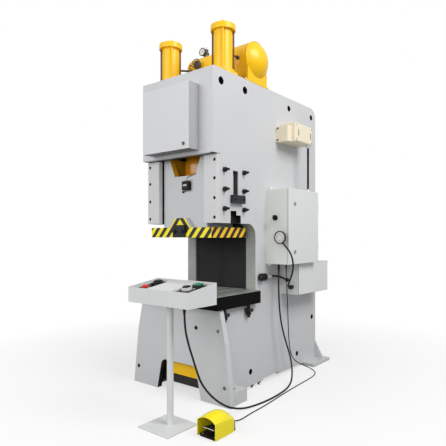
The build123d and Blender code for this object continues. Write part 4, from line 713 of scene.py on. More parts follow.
def round_bar(shape, line, radius, sides=10):
    """A bent round bar or pipe through points in metres, with flat ends."""
    rings = []
    aim = None
    for index, point in enumerate(line):
        ahead = heading(line, index).normalized()
        if aim is None:
            aim = ahead.to_track_quat("Z", "X")
        else:
            aim = (aim @ Vector((0, 0, 1))).rotation_difference(ahead) @ aim
        rings.append(rim(shape, point, aim, radius, sides))
    skin(shape, rings)


def eased(places, bend=0.35, steps=6):
    """Straight runs between places in millimetres, with each corner eased into a curve."""
    corners = [spot(*place) for place in places]
    line = [corners[0]]
    for before, here, after in zip(corners, corners[1:], corners[2:]):
        start = here.lerp(before, bend)
        end = here.lerp(after, bend)
        for step in range(steps + 1):
            share = step / steps
            line.append(start.lerp(here, share).lerp(here.lerp(end, share), share))
    line.append(corners[-1])
    return line


drive_wire = bmesh.new()
wire_route = [(24.0, 117.0, 1820.0), (26.0, 110.0, 1846.0), (70.0, 106.0, 1856.0), (128.0, 108.0, 1870.0),
              (150.0, 130.0, 1888.0)]
round_bar(drive_wire, eased(wire_route), 2.0, 8)
made("indicator_wire", drive_wire, black_plastic, "ram")

# Crank drive: the forged crankshaft in its bushes, the main gear and pinion, and the rods that
# the balance cylinders lift. Bare steel, lightly oiled.
bright_steel = machined("bright_steel", (0.55, 0.56, 0.57))
dress(bright_steel, "balance_rods", "crankshaft", "shaft_bearings", "pinion_shaft", "adjusting_screw",
      "clutch_brake")
guide_iron = machined("guide_iron", (0.25, 0.25, 0.24), (0.35, 0.5))
dress(guide_iron, "main_gear")

# Connecting rod: a casting in amber enamel. Its shank carries a faceted rib, which shows through
# the ram's window.
rod_enamel = sprayed("rod_enamel", (0.62, 0.25, 0.008), (0.16, 0.26), 0.06, 0.2, 0.5)
dress(rod_enamel, "connecting_rod")
rib = bmesh.new()
RIB_BACK = 224.0
rows = []
for z, half, crest, front in ((2076.0, 66.0, 14.0, 205.0), (1996.0, 88.0, 10.0, 196.0),
                              (1905.0, 88.0, 8.0, 196.0), (1842.0, 58.0, 8.0, 210.0)):
    outline = ((-half, RIB_BACK), (-crest - 12.0, front), (crest - 12.0, front), (half, RIB_BACK))
    rows.append([rib.verts.new(spot(x, depth, z)) for x, depth in outline])
skin(rib, rows)
made("rod_rib", rib, rod_enamel, "rod", 12.0)

# Flywheel drive: the heavy cast wheel, the motor with its fins, their belts and the pulley,
# all behind the rear sheets.
motor_grey = sprayed("motor_grey", (0.20, 0.25, 0.28), (0.4, 0.55), 0.04, 0.3)
belt_rubber = moulded("belt_rubber", (0.02, 0.02, 0.02), (0.6, 0.8), 0.4)
dress(guide_iron, "flywheel", "motor_pulley")
dress(motor_grey, "motor")
dress(belt_rubber, "drive_belts")

# Balance cylinders: steel barrels under caps, in amber enamel. Four tie rods with domed nuts
# draw each cap down on its base, and bolts hold the base to the frame. The two tie rods at each
# barrel's sides, as seen from the camera, carry painted shade, a dark brown.
CYLINDER_X = 313.0
CYLINDER_DEPTH = 252.0
TIE_CIRCLE = 88.5
cylinder_paint = Finish("cylinder_enamel", coat=0.1, shine=0.35)
t = cylinder_paint.tree
from_side = less(t, magnitude(t, cylinder_paint.x), CYLINDER_X / 1000.0)
from_front = less(t, cylinder_paint.y, FRONT + CYLINDER_DEPTH / 1000.0)
# Painted shade: the diagonal pair of tie rods at the barrel's sides, as seen from the camera, are painted
# dark brown.
tie_rod_shade = times(t, above(t, radial(t, from_side, from_front), 0.0806),
                within(t, cylinder_paint.z, 2.7365, 3.0695),
                above(t, times(t, from_side, from_front, cylinder_paint.x), 0.0))
cylinder_paint.colour(cylinder_paint.drifting((0.96, 0.56, 0.006), 0.03))
cylinder_paint.over(tie_rod_shade, (0.16, 0.06, 0.008))
cylinder_paint.rough(0.30, 0.42)
cylinder_paint.bumpy(0.1, 260.0)
dress(cylinder_paint, "balance_cylinders")
tie_nuts = bmesh.new()
base_bolts = bmesh.new()
air_unions = bmesh.new()
for side in (-1.0, 1.0):
    x = side * CYLINDER_X
    for turn in (38.0, 128.0, 218.0, 308.0):
        angle = math.radians(turn)
        place = (x + side * TIE_CIRCLE * math.cos(angle), CYLINDER_DEPTH + TIE_CIRCLE * math.sin(angle))
        hex_bolt(tie_nuts, (*place, 3118.0), (0, 0, 1), 19.0, 9.0)
        turned(tie_nuts, spot(*place, 3126.0), (0, 0, 1),
               [(0.0, 0.0), (8.0, 0.0), (6.6, 4.0), (3.6, 6.4), (0.0, 7.2)], 16)
    for across in (-74.0, 74.0):
        for back in (-74.0, 74.0):
            hex_bolt(base_bolts, (x + across, CYLINDER_DEPTH + back, 2722.0), (0, 0, 1), 17.0, 9.0, 11.0, 3.0)
    hex_bolt(air_unions, (x, CYLINDER_DEPTH, 3120.0), (0, 0, 1), 24.0, 10.0)
made("tie_nuts", tie_nuts, amber)
dull_zinc = machined("dull_zinc", (0.40, 0.36, 0.26), (0.4, 0.55), (1.0, 1.0, 1.0), 60.0)
made("base_bolts", base_bolts, dull_zinc)
brass = machined("brass", (0.62, 0.43, 0.16), (0.25, 0.38), (1.0, 1.0, 1.0), 90.0)
made("air_unions", air_unions, brass)

# Air tank: a rolled and welded cylinder with pressed domes in amber enamel, lying on two plate
# saddles. The seams stand up as flat beads, and the saddles' feet are bolted down.
dress(amber, "air_tank")
tank_seams = bmesh.new()
tank_middle = spot(0.0, 625.0, 2915.0)
for x in (-295.0, 400.0):
    turned(tank_seams, tank_middle + Vector((x / 1000.0, 0.0, 0.0)), (1, 0, 0),
           [(163.0, -7.0), (165.8, -5.5), (167.6, -2.0), (167.6, 2.0), (165.8, 5.5), (163.0, 7.0)], 72)
bead(tank_seams, [(-290.0, 709.0, 3057.5), (395.0, 709.0, 3057.5)], 3.4)
for x in (-303.0, -287.0, 395.0, 411.0):
    bead(tank_seams, [(x, 480.0, 2701.0), (x, 770.0, 2701.0)], 3.5)
made("tank_seams", tank_seams, amber)
saddle_feet = bmesh.new()
saddle_bolts = bmesh.new()
for x0, x1 in ((-303.0, -271.0), (379.0, 411.0)):
    for d0, d1 in ((446.0, 478.0), (772.0, 804.0)):
        block(saddle_feet, x0, x1, d0, d1, 2700.5, 2714.0, 2.0)
        hex_bolt(saddle_bolts, ((x0 + x1) / 2.0, (d0 + d1) / 2.0, 2714.0), (0, 0, 1), 17.0, 9.0, 11.0, 3.0)
made("saddle_feet", saddle_feet, amber)
made("saddle_bolts", saddle_bolts, dull_zinc)

# Tank fittings: a relief valve with its pull ring, a round pressure switch on the front boss,
# and a pressure gauge with a white dial, plain ticks and a black hand before the valve.
fitting_steel = moulded("fitting_steel", (0.045, 0.040, 0.035), (0.3, 0.45), 0.2, shine=0.5)
dress(fitting_steel, "tank_fittings")
VALVE = (-200.0, 625.0, 3164.0)
GAUGE = (-200.0, 590.0, 3128.0)
RING_RADIUS = 13.0
valve_ring = bmesh.new()
ring_line = []
for step in range(25):
    angle = 2.0 * math.pi * step / 24
    ring_line.append(spot(VALVE[0] + RING_RADIUS * math.cos(angle), VALVE[1],
                          VALVE[2] + 12.0 + RING_RADIUS * math.sin(angle)))
round_bar(valve_ring, ring_line, 1.6, 8)
turned(valve_ring, spot(*VALVE), (0, 0, 1), [(0.0, 0.0), (9.0, 0.0), (7.0, 4.0), (0.0, 5.0)], 18)
made("valve_ring", valve_ring, zinc)
dial = Finish("gauge_dial")
t = dial.tree
from_middle_x = less(t, dial.x, GAUGE[0] / 1000.0)
from_middle_z = less(t, dial.z, GAUGE[2] / 1000.0)
bearing = sums(t, "ARCTAN2", from_middle_x, from_middle_z)
tick = times(t, above(t, sums(t, "COSINE", times(t, bearing, 20.0)), 0.80),
             within(t, radial(t, from_middle_x, from_middle_z), 0.0225, 0.0285),
             below(t, magnitude(t, bearing), 2.37))
dial.colour(blend_colour(t, tick, (0.85, 0.85, 0.83), (0.02, 0.02, 0.02)))
dial.rough(0.3, 0.4)
gauge_case = bmesh.new()
turned(gauge_case, spot(*GAUGE), (0, -1, 0),
       [(0.0, 0.0), (33.0, 0.0), (36.5, 3.0), (36.5, 24.0), (38.5, 25.0), (38.5, 28.0), (35.0, 30.0),
        (32.0, 27.0), (0.0, 26.0)], 40)
turned(gauge_case, spot(GAUGE[0], GAUGE[1] + 35.0, GAUGE[2]), (0, -1, 0),
       [(0.0, 0.0), (8.0, 0.0), (8.0, 36.0), (0.0, 36.0)], 16)
made("gauge_case", gauge_case, fitting_steel)
dial_face = bmesh.new()
turned(dial_face, spot(GAUGE[0], GAUGE[1] - 26.2, GAUGE[2]), (0, -1, 0),
       [(0.0, 0.0), (31.6, 0.0), (31.6, 0.8), (0.0, 0.8)], 40)
made("gauge_dial", dial_face, dial)
gauge_hand = bmesh.new()
round_bar(gauge_hand, [spot(-204.0, 562.4, 3120.0), spot(-186.0, 562.4, 3147.0)], 1.2, 6)
turned(gauge_hand, spot(GAUGE[0], GAUGE[1] - 27.0, GAUGE[2]), (0, -1, 0),
       [(0.0, 0.0), (4.0, 0.0), (3.4, 2.0), (0.0, 2.4)], 16)
made("gauge_hand", gauge_hand, black_plastic)

# Air pipes: short steel pipes with union nuts, from each cylinder's barrel to the tank, and a
# thin looped pipe from the tank down to the frame's top.
PIPE_Z = 2915.0
air_pipes = bmesh.new()
pipe_unions = bmesh.new()
for barrel_x, tank_x in ((313.0, 313.0), (-313.0, -262.0)):
    pipe_route = [(barrel_x, 325.0, PIPE_Z), (barrel_x, 372.0, PIPE_Z), (tank_x, 420.0, PIPE_Z),
                  (tank_x, 468.0, PIPE_Z)]
    round_bar(air_pipes, eased(pipe_route), 9.0, 14)
    hex_bolt(pipe_unions, (tank_x, 466.0, PIPE_Z), (0, -1, 0), 32.0, 20.0)
    hex_bolt(pipe_unions, (barrel_x, 330.0, PIPE_Z), (0, 1, 0), 32.0, 20.0)
loop = [(-196.0, 452.0, 2980.0)]
for step in range(11):
    angle = 0.62 * step - 1.2
    loop.append((-138.0 + 60.0 * math.sin(angle), 404.0 - 5.0 * angle, 2936.0 + 60.0 * math.cos(angle)))
loop += [(-70.0, 372.0, 2860.0), (-62.0, 372.0, 2790.0), (-62.0, 372.0, 2702.0)]
round_bar(air_pipes, eased(loop, 0.45), 4.0, 10)
hex_bolt(pipe_unions, (-196.0, 458.0, 2980.0), (0, -1, 0), 16.0, 12.0)
hex_bolt(pipe_unions, (-62.0, 372.0, 2700.0), (0, 0, 1), 18.0, 12.0, 12.0)
pipe_steel = moulded("pipe_steel", (0.055, 0.040, 0.026), (0.3, 0.45), 0.2, shine=0.5)
made("air_pipes", air_pipes, pipe_steel)
made("pipe_unions", pipe_unions, pipe_steel)

# Front cover: a folded sheet box, sprayed light, that hinges on its left edge. Its right flank
# and underside carry painted shade, a darker grey. A black foam seal lies behind its rim, and a
# quarter-turn catch holds its right edge.
cover_grey = sprayed("cover_grey", (0.655, 0.66, 0.668), (0.36, 0.48))
t = cover_grey.tree
# Painted shade: the right flank is darkened halfway, and the underside almost fully, towards a dark grey.
flank = times(t, above(t, cover_grey.facing_x, 0.7), 0.50)
underside = times(t, below(t, cover_grey.facing_z, -0.7), 0.92)
cover_grey.over(sums(t, "MAXIMUM", flank, underside), (0.13, 0.13, 0.135))
dress(cover_grey, "front_cover")
lock_grey = moulded("lock_grey", (0.13, 0.13, 0.13), (0.3, 0.4), 0.1, shine=0.5)
dress(lock_grey, "cover_lock")
foam = moulded("foam_seal", (0.012, 0.012, 0.012), (0.7, 0.85), 0.5)
cover_seal = bmesh.new()
for x0, x1, z0, z1 in ((-265.0, 262.0, 2042.0, 2052.0), (-265.0, 262.0, 2561.0, 2571.0),
                       (-265.0, -255.0, 2052.5, 2560.5), (252.0, 262.0, 2052.5, 2560.5)):
    block(cover_seal, x0, x1, -2.0, -0.3, z0, z1)
made("cover_seal", cover_seal, foam, "cover")
cover_pins = bmesh.new()
for z in (2129.0, 2484.0):
    for end in (-1.0, 1.0):
        turned(cover_pins, spot(-273.0, -9.0, z + end * 38.0), (0, 0, -end),
               [(0.0, 0.0), (3.6, 0.0), (4.4, 2.5), (0.0, 2.9)], 16)
made("cover_pins", cover_pins, bright_steel, "cover")

# Cabinet: a folded sheet steel box on the right side frame, in grey-white wrinkle paint. Its door
# closes on a black foam seal and has two keyed quarter-turn catches.
wrinkle_front = sprayed("cabinet_wrinkle", (0.77, 0.785, 0.745), (0.44, 0.56), 0.015, 0.35)
wrinkle_door = sprayed("door_wrinkle", (0.72, 0.725, 0.725), (0.44, 0.56), 0.015, 0.35)
dress(wrinkle_front, "cabinet_body")
dress(wrinkle_door, "cabinet_door")
door_lock_grey = moulded("door_lock_grey", (0.33, 0.33, 0.33), (0.3, 0.4), 0.1, shine=0.5)
dress(door_lock_grey, "door_lock_upper", "door_lock_lower")
dress(zinc, "cabinet_gear")
door_seal = bmesh.new()
for d0, d1, z0, z1 in ((762.0, 1308.0, 1092.0, 1100.0), (762.0, 1308.0, 1756.0, 1764.0),
                       (762.0, 770.0, 1100.5, 1755.5), (1300.0, 1308.0, 1100.5, 1755.5)):
    block(door_seal, 636.2, 638.8, d0, d1, z0, z1)
made("door_seal", door_seal, foam)
lock_rings = bmesh.new()
for z in (1633.0, 1200.0):
    turned(lock_rings, spot(655.0, 862.0, z), (1, 0, 0),
           [(14.3, 0.0), (19.0, 0.0), (18.0, 2.6), (14.3, 3.2), (14.3, 0.0)], 32)
join_rims(lock_rings)
made("lock_rings", lock_rings, door_lock_grey, "door")
cabinet_trim = bmesh.new()
for x in (430.0, 470.0, 595.0):
    cap_screw(cabinet_trim, (x, 1200.0, 1768.0), (0, 0, 1), 6.0, 5.0)
for depth in (800.0, 1270.0):
    for z0, z1 in ((1070.0, 1088.0), (1768.0, 1786.0)):
        block(cabinet_trim, 411.0, 447.0, depth - 18.0, depth + 18.0, z0, z1, 1.5)
made("cabinet_brackets", cabinet_trim, wrinkle_front)

# Isolator: a black plastic rotary handle for the mains, on a plated ring that is clamped to the
# cabinet's front wall.
dress(black_plastic, "isolator_knob")
isolator_ring = bmesh.new()
turned(isolator_ring, spot(515.0, 758.0, 1508.0), (0, -1, 0),
       [(24.3, 0.0), (27.0, 0.0), (26.4, 1.6), (24.3, 2.0), (24.3, 0.0)], 32)
join_rims(isolator_ring)
made("isolator_ring", isolator_ring, zinc)

# Terminal box: a closed sheet box behind the throat, its lid held by four plated screws over a
# foam seal.
dress(wrinkle_door, "terminal_box")
lid_seal = bmesh.new()
for d0, d1, z0, z1 in ((1031.0, 1625.0, 788.0, 790.0), (1031.0, 1625.0, 1083.0, 1085.0),
                       (1031.0, 1033.0, 790.3, 1082.7), (1623.0, 1625.0, 790.3, 1082.7)):
    block(lid_seal, 592.6, 595.4, d0 - 2.2, d1 + 2.2, z0 - 2.2, z1 + 2.2)
made("lid_seal", lid_seal, foam)
lid_screws = bmesh.new()
for depth in (1044.0, 1612.0):
    for z in (801.0, 1072.0):
        button_screw(lid_screws, (603.0, depth, z), (1, 0, 0), 6.2)
made("lid_screws", lid_screws, zinc)

# Cam switch box: a cast box in cream enamel with a smaller front end. Dark socket screws and two
# flat clips hold the lid and the end to the casting.
cream = sprayed("cream_enamel", (0.845, 0.765, 0.585), (0.3, 0.42), 0.02, 0.15)
dress(cream, "cam_box")
cam_marks = bmesh.new()
for depth in (1062.0, 1296.0):
    block(cam_marks, 579.0, 581.4, depth - 5.0, depth + 5.0, 2292.0, 2352.0, 1.0)
for depth, z in ((1022.0, 2256.0), (1022.0, 2392.0), (1312.0, 2256.0), (1312.0, 2392.0)):
    cap_screw(cam_marks, (579.5, depth, z), (1, 0, 0), 5.0, 3.0)
for x, z in ((432.0, 2250.0), (432.0, 2358.0)):
    cap_screw(cam_marks, (x, 926.0, z), (0, -1, 0), 8.0, 6.0)
made("cam_box_screws", cam_marks, black_plastic)

# Conduit: a black hose from the cam box down to the cabinet, with a ribbed rubber sleeve over it
# and plated screw couplings at both ends.
CONDUIT = (562.0, 1277.0)
CONDUIT_RIBS = 52
RIB_PITCH = 8.0
ribbed_hose = Finish("ribbed_hose", shine=0.2)
t = ribbed_hose.tree
ribbed_hose.colour(ribbed_hose.drifting((0.006, 0.006, 0.006), 0.1, 30.0))
ribbed_hose.rough(0.55, 0.7, 40.0)
ribbed_hose.raised(sums(t, "SINE", times(t, ribbed_hose.z, 1300.0)), 0.8, 0.0015)
dress(ribbed_hose, "conduit")
wrap = bmesh.new()
profile = [(8.1, 0.0)]
for rib in range(CONDUIT_RIBS):
    base = RIB_PITCH * rib
    profile += [(9.6, base + 0.6), (10.8, base + 2.0), (10.8, base + 5.0), (9.6, base + 6.6)]
profile += [(8.1, RIB_PITCH * CONDUIT_RIBS), (8.1, 0.0)]
turned(wrap, spot(*CONDUIT, 1794.0), (0, 0, 1), profile, 16)
join_rims(wrap)
made("conduit_wrap", wrap, cable_rubber)
couplings = bmesh.new()
for z, way in ((1768.0, 1.0), (2236.0, -1.0)):
    hex_bolt(couplings, (*CONDUIT, z), (0, 0, way), 34.0, 9.0)
    turned(couplings, spot(*CONDUIT, z + way * 8.0), (0, 0, way),
           [(0.0, 0.0), (15.0, 0.0), (15.0, 16.0), (12.5, 20.0), (12.5, 24.0), (0.0, 24.0)], 24)
made("conduit_couplings", couplings, zinc)

# Air inlet: a black ribbed hand coupling, a bright plated sleeve behind it, and the black hose
# that runs back to the terminal box.
INLET_X = 447.0
INLET_Z = 974.0
inlet = Finish("air_inlet_finish", shine=0.35)
t = inlet.tree
bright_part = times(t, within(t, inlet.y, FRONT + 0.6885, FRONT + 0.7765),
                    below(t, magnitude(t, less(t, inlet.x, INLET_X / 1000.0)), 0.0185))
inlet.colour(blend_colour(t, bright_part, (0.008, 0.008, 0.008), (0.84, 0.85, 0.86)))
wire(t, times(t, bright_part, 0.9), inlet.shader.inputs["Metallic"])
inlet.rough(0.26, 0.38, 30.0)
inlet.bumpy(0.15, 400.0)
dress(inlet, "air_inlet")
hose_nuts = bmesh.new()
hex_bolt(hose_nuts, (INLET_X, 774.0, INLET_Z), (0, 1, 0), 30.0, 12.0)
turned(hose_nuts, spot(INLET_X, 622.0, INLET_Z), (0, -1, 0),
       [(0.0, 0.0), (20.0, 0.0), (17.0, 5.0), (8.0, 6.0), (7.0, 2.0), (0.0, 2.0)], 28)
made("hose_nuts", hose_nuts, clamp_steel)

# Work lamp: a flat round head with a dark metal rim and a pale ribbed lens over a ring of small
# lights, on a flexible neck of wound steel strip sheathed in black.
lamp_black = moulded("lamp_black", (0.009, 0.009, 0.010), (0.35, 0.5), 0.1)
dress(lamp_black, "work_lamp")
LAMP_X = 600.0
LAMP_Z = 1330.0
lens_white = Finish("lamp_lens")
t = lens_white.tree
across = less(t, lens_white.x, LAMP_X / 1000.0)
up = less(t, lens_white.z, LAMP_Z / 1000.0)
far = radial(t, across, up)
around = sums(t, "ARCTAN2", across, up)
cells = times(t, above(t, sums(t, "COSINE", times(t, around, 10.0)), 0.2), within(t, far, 0.021, 0.037))
lens_white.colour(blend_colour(t, cells, (0.80, 0.81, 0.80), (0.55, 0.56, 0.54)))
lens_white.rough(0.12, 0.2)
lens_white.raised(sums(t, "SINE", times(t, far, 1500.0)), 0.5, 0.0008)
lens_shape = bmesh.new()
turned(lens_shape, spot(LAMP_X, 693.0, LAMP_Z), (0, -1, 0),
       [(0.0, 0.0), (48.5, 0.0), (48.5, 2.0), (40.0, 4.4), (24.0, 6.0), (0.0, 6.6)], 48)
made("lamp_lens", lens_shape, lens_white)
bezel = bmesh.new()
turned(bezel, spot(LAMP_X, 688.6, LAMP_Z), (0, -1, 0),
       [(48.8, 0.0), (57.0, 0.0), (58.0, 1.6), (56.0, 4.0), (51.0, 4.0), (48.8, 2.0), (48.8, 0.0)], 48)
join_rims(bezel)
made("lamp_bezel", bezel, pipe_steel)
neck_route = [(526.0, 1000.0, 859.0), (540.0, 930.0, 872.0), (590.0, 868.0, 920.0), (655.0, 800.0, 985.0),
              (706.0, 744.0, 1060.0), (720.0, 712.0, 1140.0), (698.0, 690.0, 1215.0), (650.0, 688.0, 1262.0),
              (624.0, 700.0, 1290.0)]
neck_line = eased(neck_route, 0.45, 12)
neck = bmesh.new()
RING_SPACING = 0.0066
travelled = 0.0
for here, there in zip(neck_line, neck_line[1:]):
    step_length = (there - here).length
    while travelled < step_length and step_length > 0.0:
        turned(neck, here.lerp(there, travelled / step_length), there - here,
               [(6.6, -2.6), (7.7, -1.4), (8.0, 0.0), (7.7, 1.4), (6.6, 2.6), (6.6, -2.6)], 14)
        travelled += RING_SPACING
    travelled -= step_length
join_rims(neck)
made("lamp_neck_rings", neck, lamp_black)
LAMP_FOOT = (526.0, 996.0, 859.0)
lamp_foot = bmesh.new()
hex_bolt(lamp_foot, LAMP_FOOT, (0, -1, 0), 32.0, 12.0)
for step in range(4):
    angle = math.radians(45.0 + 90.0 * step)
    place = (LAMP_FOOT[0] + 14.0 * math.cos(angle), LAMP_FOOT[1], LAMP_FOOT[2] + 14.0 * math.sin(angle))
    cap_screw(lamp_foot, place, (0, -1, 0), 2.6, 2.2)
made("lamp_foot_nut", lamp_foot, clamp_steel)

# Console: a square foot plate, a round post and a folded tray, welded and sprayed grey-white.
# The welds show where the post meets its foot and head plates.
console_paint = sprayed("console_paint", (0.660, 0.672, 0.668), (0.38, 0.5))
dress(console_paint, "console_stand", "console_tray")
POST = (412.0, -468.0)
WELD_RADIUS = 25.0
console_welds = bmesh.new()
for z in (9.0, 863.0):
    angles = [2.0 * math.pi * step / 20 for step in range(20)]
    ring = [(POST[0] + WELD_RADIUS * math.cos(a), POST[1] + WELD_RADIUS * math.sin(a), z) for a in angles]
    bead(console_welds, ring, 2.8, closed=True)
made("console_welds", console_welds, console_paint)

# Console deck: a black sheet, sloping down to the operator, with a raised pale panel between the
# buttons and a pale collar round the inching button.
TRAY_SLOPE = math.atan2(44.0, 288.0)
DECK_FRONT = -620.0
DECK_Z = 952.0
INCH = (575.0, -470.0)
OUT_OF_DECK = (0.0, -math.sin(TRAY_SLOPE), math.cos(TRAY_SLOPE))


def deck_spot(x, depth, lift=0.0):
    """A place on the sloping deck, lifted square off it by so many millimetres."""
    z = DECK_Z + (depth - DECK_FRONT) * math.tan(TRAY_SLOPE)
    return spot(x, depth, z) + Vector(OUT_OF_DECK) * lift / 1000.0


deck = Finish("deck_finish")
t = deck.tree
over_slope = less(t, deck.z, times(t, deck.y, math.tan(TRAY_SLOPE)))
level = DECK_Z / 1000.0 - (FRONT + DECK_FRONT / 1000.0) * math.tan(TRAY_SLOPE)
raised = above(t, over_slope, level + 0.001)
from_inch = radial(t, less(t, deck.x, INCH[0] / 1000.0), less(t, deck.y, FRONT + INCH[1] / 1000.0))
panel_face = times(t, raised, within(t, deck.x, 0.2885, 0.5335))
deck.colour(blend_colour(t, panel_face, (0.012, 0.012, 0.013), (0.66, 0.665, 0.66)))
deck.over(times(t, raised, below(t, from_inch, 0.0405)), (0.70, 0.70, 0.69))
deck.rough(0.35, 0.5)
deck.bumpy(0.15, 300.0)
dress(deck, "console_panel")
deck_screws = bmesh.new()
for x in (156.0, 295.0, 430.0, 571.0, 708.0):
    for depth in (-604.0, -346.0):
        under_panel = 288.0 < x < 534.0 and depth < -600.0
        if not under_panel:
            turned(deck_screws, deck_spot(x, depth), OUT_OF_DECK,
                   [(0.0, 0.0), (5.0, 0.0), (4.6, 1.6), (2.0, 2.4), (1.9, 1.2), (0.0, 1.2)], 16)
made("deck_screws", deck_screws, zinc)
legend_plates = bmesh.new()
for x, depth in ((205.0, -440.0), (245.0, -518.0), (575.0, -424.0), (610.0, -437.0)):
    turned(legend_plates, deck_spot(x, depth), OUT_OF_DECK,
           [(0.0, 0.0), (13.0, 0.0), (13.0, 0.8), (0.0, 0.8)], 4, math.radians(45.0))
made("legend_plates", legend_plates, ivory)

# Pilot lamps: three small domed lamps of ivory plastic on the raised panel, each behind a plated
# bezel that screws it down.
pilot_bezels = bmesh.new()
pilot_domes = bmesh.new()
for x in (340.0, 411.0, 482.0):
    foot = deck_spot(x, -395.0, 14.0)
    turned(pilot_bezels, foot, OUT_OF_DECK,
           [(9.0, 0.0), (14.0, 0.0), (13.5, 3.0), (10.0, 4.5), (9.0, 3.0), (9.0, 0.0)], 24)
    turned(pilot_domes, foot, OUT_OF_DECK, [(0.0, 0.0), (9.4, 0.0), (9.0, 4.0), (6.4, 7.0), (0.0, 8.4)], 24)
join_rims(pilot_bezels)
made("pilot_bezels", pilot_bezels, zinc)
made("pilot_domes", pilot_domes, ivory)

# Buttons: a red stop button on a yellow collar, a black and a green palm button, a black inching
# button and a black selector, all moulded and pressed on steel stems.
stop_red = moulded("stop_red", (0.72, 0.018, 0.014), (0.2, 0.3), 0.05, 0.2)
start_green = moulded("start_green", (0.012, 0.24, 0.105), (0.2, 0.3), 0.05, 0.2)
dress(stop_red, "stop_button")
dress(start_green, "palm_button_right")
dress(black_plastic, "palm_button_left", "inch_button", "selector_knob")
collar_yellow = moulded("collar_yellow", (0.90, 0.66, 0.01), (0.3, 0.4), 0.05)
stop_collar = bmesh.new()
turned(stop_collar, deck_spot(245.0, -550.0), OUT_OF_DECK,
       [(20.3, 0.0), (28.0, 0.0), (27.0, 4.0), (25.5, 5.2), (20.3, 5.5), (20.3, 0.0)], 36)
join_rims(stop_collar)
made("stop_collar", stop_collar, collar_yellow)
pointer = bmesh.new()
turned(pointer, deck_spot(235.0, -470.0, 27.0) + Vector((0.0, 0.0102, 0.0016)), OUT_OF_DECK,
       [(0.0, -0.3), (2.0, -0.3), (1.8, 0.5), (0.0, 0.6)], 12)
made("selector_mark", pointer, ivory, "selector")

# Foot pedal: a black moulded base and treadle under a bright yellow die-cast hood, which has a
# rolled rim round its mouth. The treadle is ribbed across and has a bright steel edge.
pedal_yellow = sprayed("pedal_yellow", (0.93, 0.78, 0.008), (0.18, 0.28), 0.02, 0.12, 0.45)
dress(pedal_yellow, "pedal_hood")
dress(black_plastic, "pedal_base")
dress(clamp_steel, "pedal_treadle")
PEDAL_X = 752.0
HOOD_FRONT = -468.0
HOOD_HALF = 79.0
HOOD_SHOULDER = 110.0
HOOD_RISE = 30.0
hood_rim = bmesh.new()
arch = [spot(PEDAL_X - HOOD_HALF, HOOD_FRONT, 4.0), spot(PEDAL_X - HOOD_HALF, HOOD_FRONT, HOOD_SHOULDER)]
crown_radius = (HOOD_HALF ** 2 + HOOD_RISE ** 2) / (2.0 * HOOD_RISE)
half_turn = math.asin(HOOD_HALF / crown_radius)
for step in range(1, 16):
    angle = -half_turn + 2.0 * half_turn * step / 16
    height = HOOD_SHOULDER + HOOD_RISE - crown_radius * (1.0 - math.cos(angle))
    arch.append(spot(PEDAL_X + crown_radius * math.sin(angle), HOOD_FRONT, height))
arch += [spot(PEDAL_X + HOOD_HALF, HOOD_FRONT, HOOD_SHOULDER), spot(PEDAL_X + HOOD_HALF, HOOD_FRONT, 4.0)]
round_bar(hood_rim, arch, 3.4, 10)
made("hood_rim", hood_rim, pedal_yellow)
tread_edge = bmesh.new()
round_bar(tread_edge, [spot(PEDAL_X - 48.0, -440.5, 55.0), spot(PEDAL_X + 48.0, -440.5, 55.0)], 3.2, 10)
made("tread_edge", tread_edge, bright_steel, "treadle")
base_feet = bmesh.new()
for x in (-52.0, 52.0):
    for depth in (-446.0, -252.0):
        turned(base_feet, spot(PEDAL_X + x, depth, 14.0), (0, 0, 1),
               [(0.0, 0.0), (5.5, 0.0), (5.0, 2.4), (2.4, 3.2), (2.2, 1.6), (0.0, 1.6)], 16)
made("pedal_base_screws", base_feet, zinc)

# Cable glands: black nylon nuts and cones that screw into the sheet under the tray and under
# the cabinet and grip each lead.
dress(black_plastic, "cable_glands")

# Floor: a plain pale sheet of studio paper. The camera sees it near white, and it keeps the
# press's soft shadow.
floor_mesh = bpy.data.meshes.new("studio_floor")
FLOOR_REACH = 30.0
corners = [(x * FLOOR_REACH, y * FLOOR_REACH, 0.0) for x, y in ((-1, -1), (1, -1), (1, 1), (-1, 1))]
floor_mesh.from_pydata(corners, [], [(0, 1, 2, 3)])
floor = bpy.data.objects.new("studio_floor", floor_mesh)
bpy.context.scene.collection.objects.link(floor)
floor.location.z = -0.0005
pale = bpy.data.materials.new("pale_floor")
pale.use_nodes = True
t = pale.node_tree
matt = t.nodes["Principled BSDF"]
matt.inputs["Roughness"].default_value = 0.9
glow = t.nodes.new("ShaderNodeEmission")
glow.inputs["Color"].default_value = (1.0, 1.0, 1.0, 1.0)
glow.inputs["Strength"].default_value = 1.0
mix = t.nodes.new("ShaderNodeMixShader")
seen = t.nodes.new("ShaderNodeLightPath")
seen_or_lit = blend_colour(t, seen.outputs["Is Camera Ray"], (0.34, 0.34, 0.34), (0.80, 0.80, 0.80))
wire(t, seen_or_lit, matt.inputs["Base Color"])
on_floor = t.nodes.new("ShaderNodeTexCoord").outputs["Object"]
away = t.nodes.new("ShaderNodeVectorMath")
away.operation = "LENGTH"
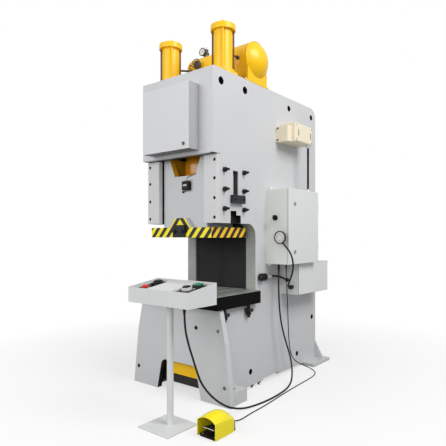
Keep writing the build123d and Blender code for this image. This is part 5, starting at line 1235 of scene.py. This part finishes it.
wire(t, on_floor, away.inputs[0])
fade = spread(t, away.outputs["Value"], 0.62, 1.0, 1.2, 3.4)
wire(t, times(t, seen.outputs["Is Camera Ray"], fade), mix.inputs[0])
wire(t, matt.outputs[0], mix.inputs[1])
wire(t, glow.outputs[0], mix.inputs[2])
wire(t, mix.outputs[0], t.nodes["Material Output"].inputs["Surface"])
floor_mesh.materials.append(pale)

# Light: an even pale surround, a soft lamp at the front left, a weaker one at the front right and
# a strong one high on the right, as in a product studio. The camera sees the surround as white.
world = bpy.data.worlds.new("studio")
bpy.context.scene.world = world
world.use_nodes = True
t = world.node_tree
soft = t.nodes["Background"]
soft.inputs["Color"].default_value = (0.97, 0.985, 1.0, 1.0)
soft.inputs["Strength"].default_value = 0.50
backdrop = t.nodes.new("ShaderNodeBackground")
backdrop.inputs["Color"].default_value = (1.0, 1.0, 1.0, 1.0)
seen = t.nodes.new("ShaderNodeLightPath")
mix = t.nodes.new("ShaderNodeMixShader")
mirrored = times(t, seen.outputs["Is Glossy Ray"], 0.25)
wire(t, sums(t, "MAXIMUM", seen.outputs["Is Camera Ray"], mirrored), mix.inputs[0])
wire(t, soft.outputs[0], mix.inputs[1])
wire(t, backdrop.outputs[0], mix.inputs[2])
wire(t, mix.outputs[0], t.nodes["World Output"].inputs["Surface"])


def softbox(name, place, target, size, watts):
    light = bpy.data.lights.new(name, "AREA")
    light.shape = "SQUARE"
    light.size = size
    light.energy = watts
    lamp = bpy.data.objects.new(name, light)
    lamp.location = place
    lamp.rotation_euler = (Vector(target) - Vector(place)).to_track_quat("-Z", "Y").to_euler()
    bpy.context.scene.collection.objects.link(lamp)


softbox("key_light", (-1.8, -6.5, 3.6), (0.0, 0.0, 1.3), 4.0, 148.0)
softbox("right_fill", (2.2, -6.0, 2.6), (0.4, 0.0, 1.2), 2.5, 62.0)
softbox("side_light", (5.5, -0.6, 6.2), (0.0, 0.0, 2.5), 3.5, 345.0)

bpy.context.scene.view_settings.view_transform = "Standard"

bpy.context.view_layer.update()
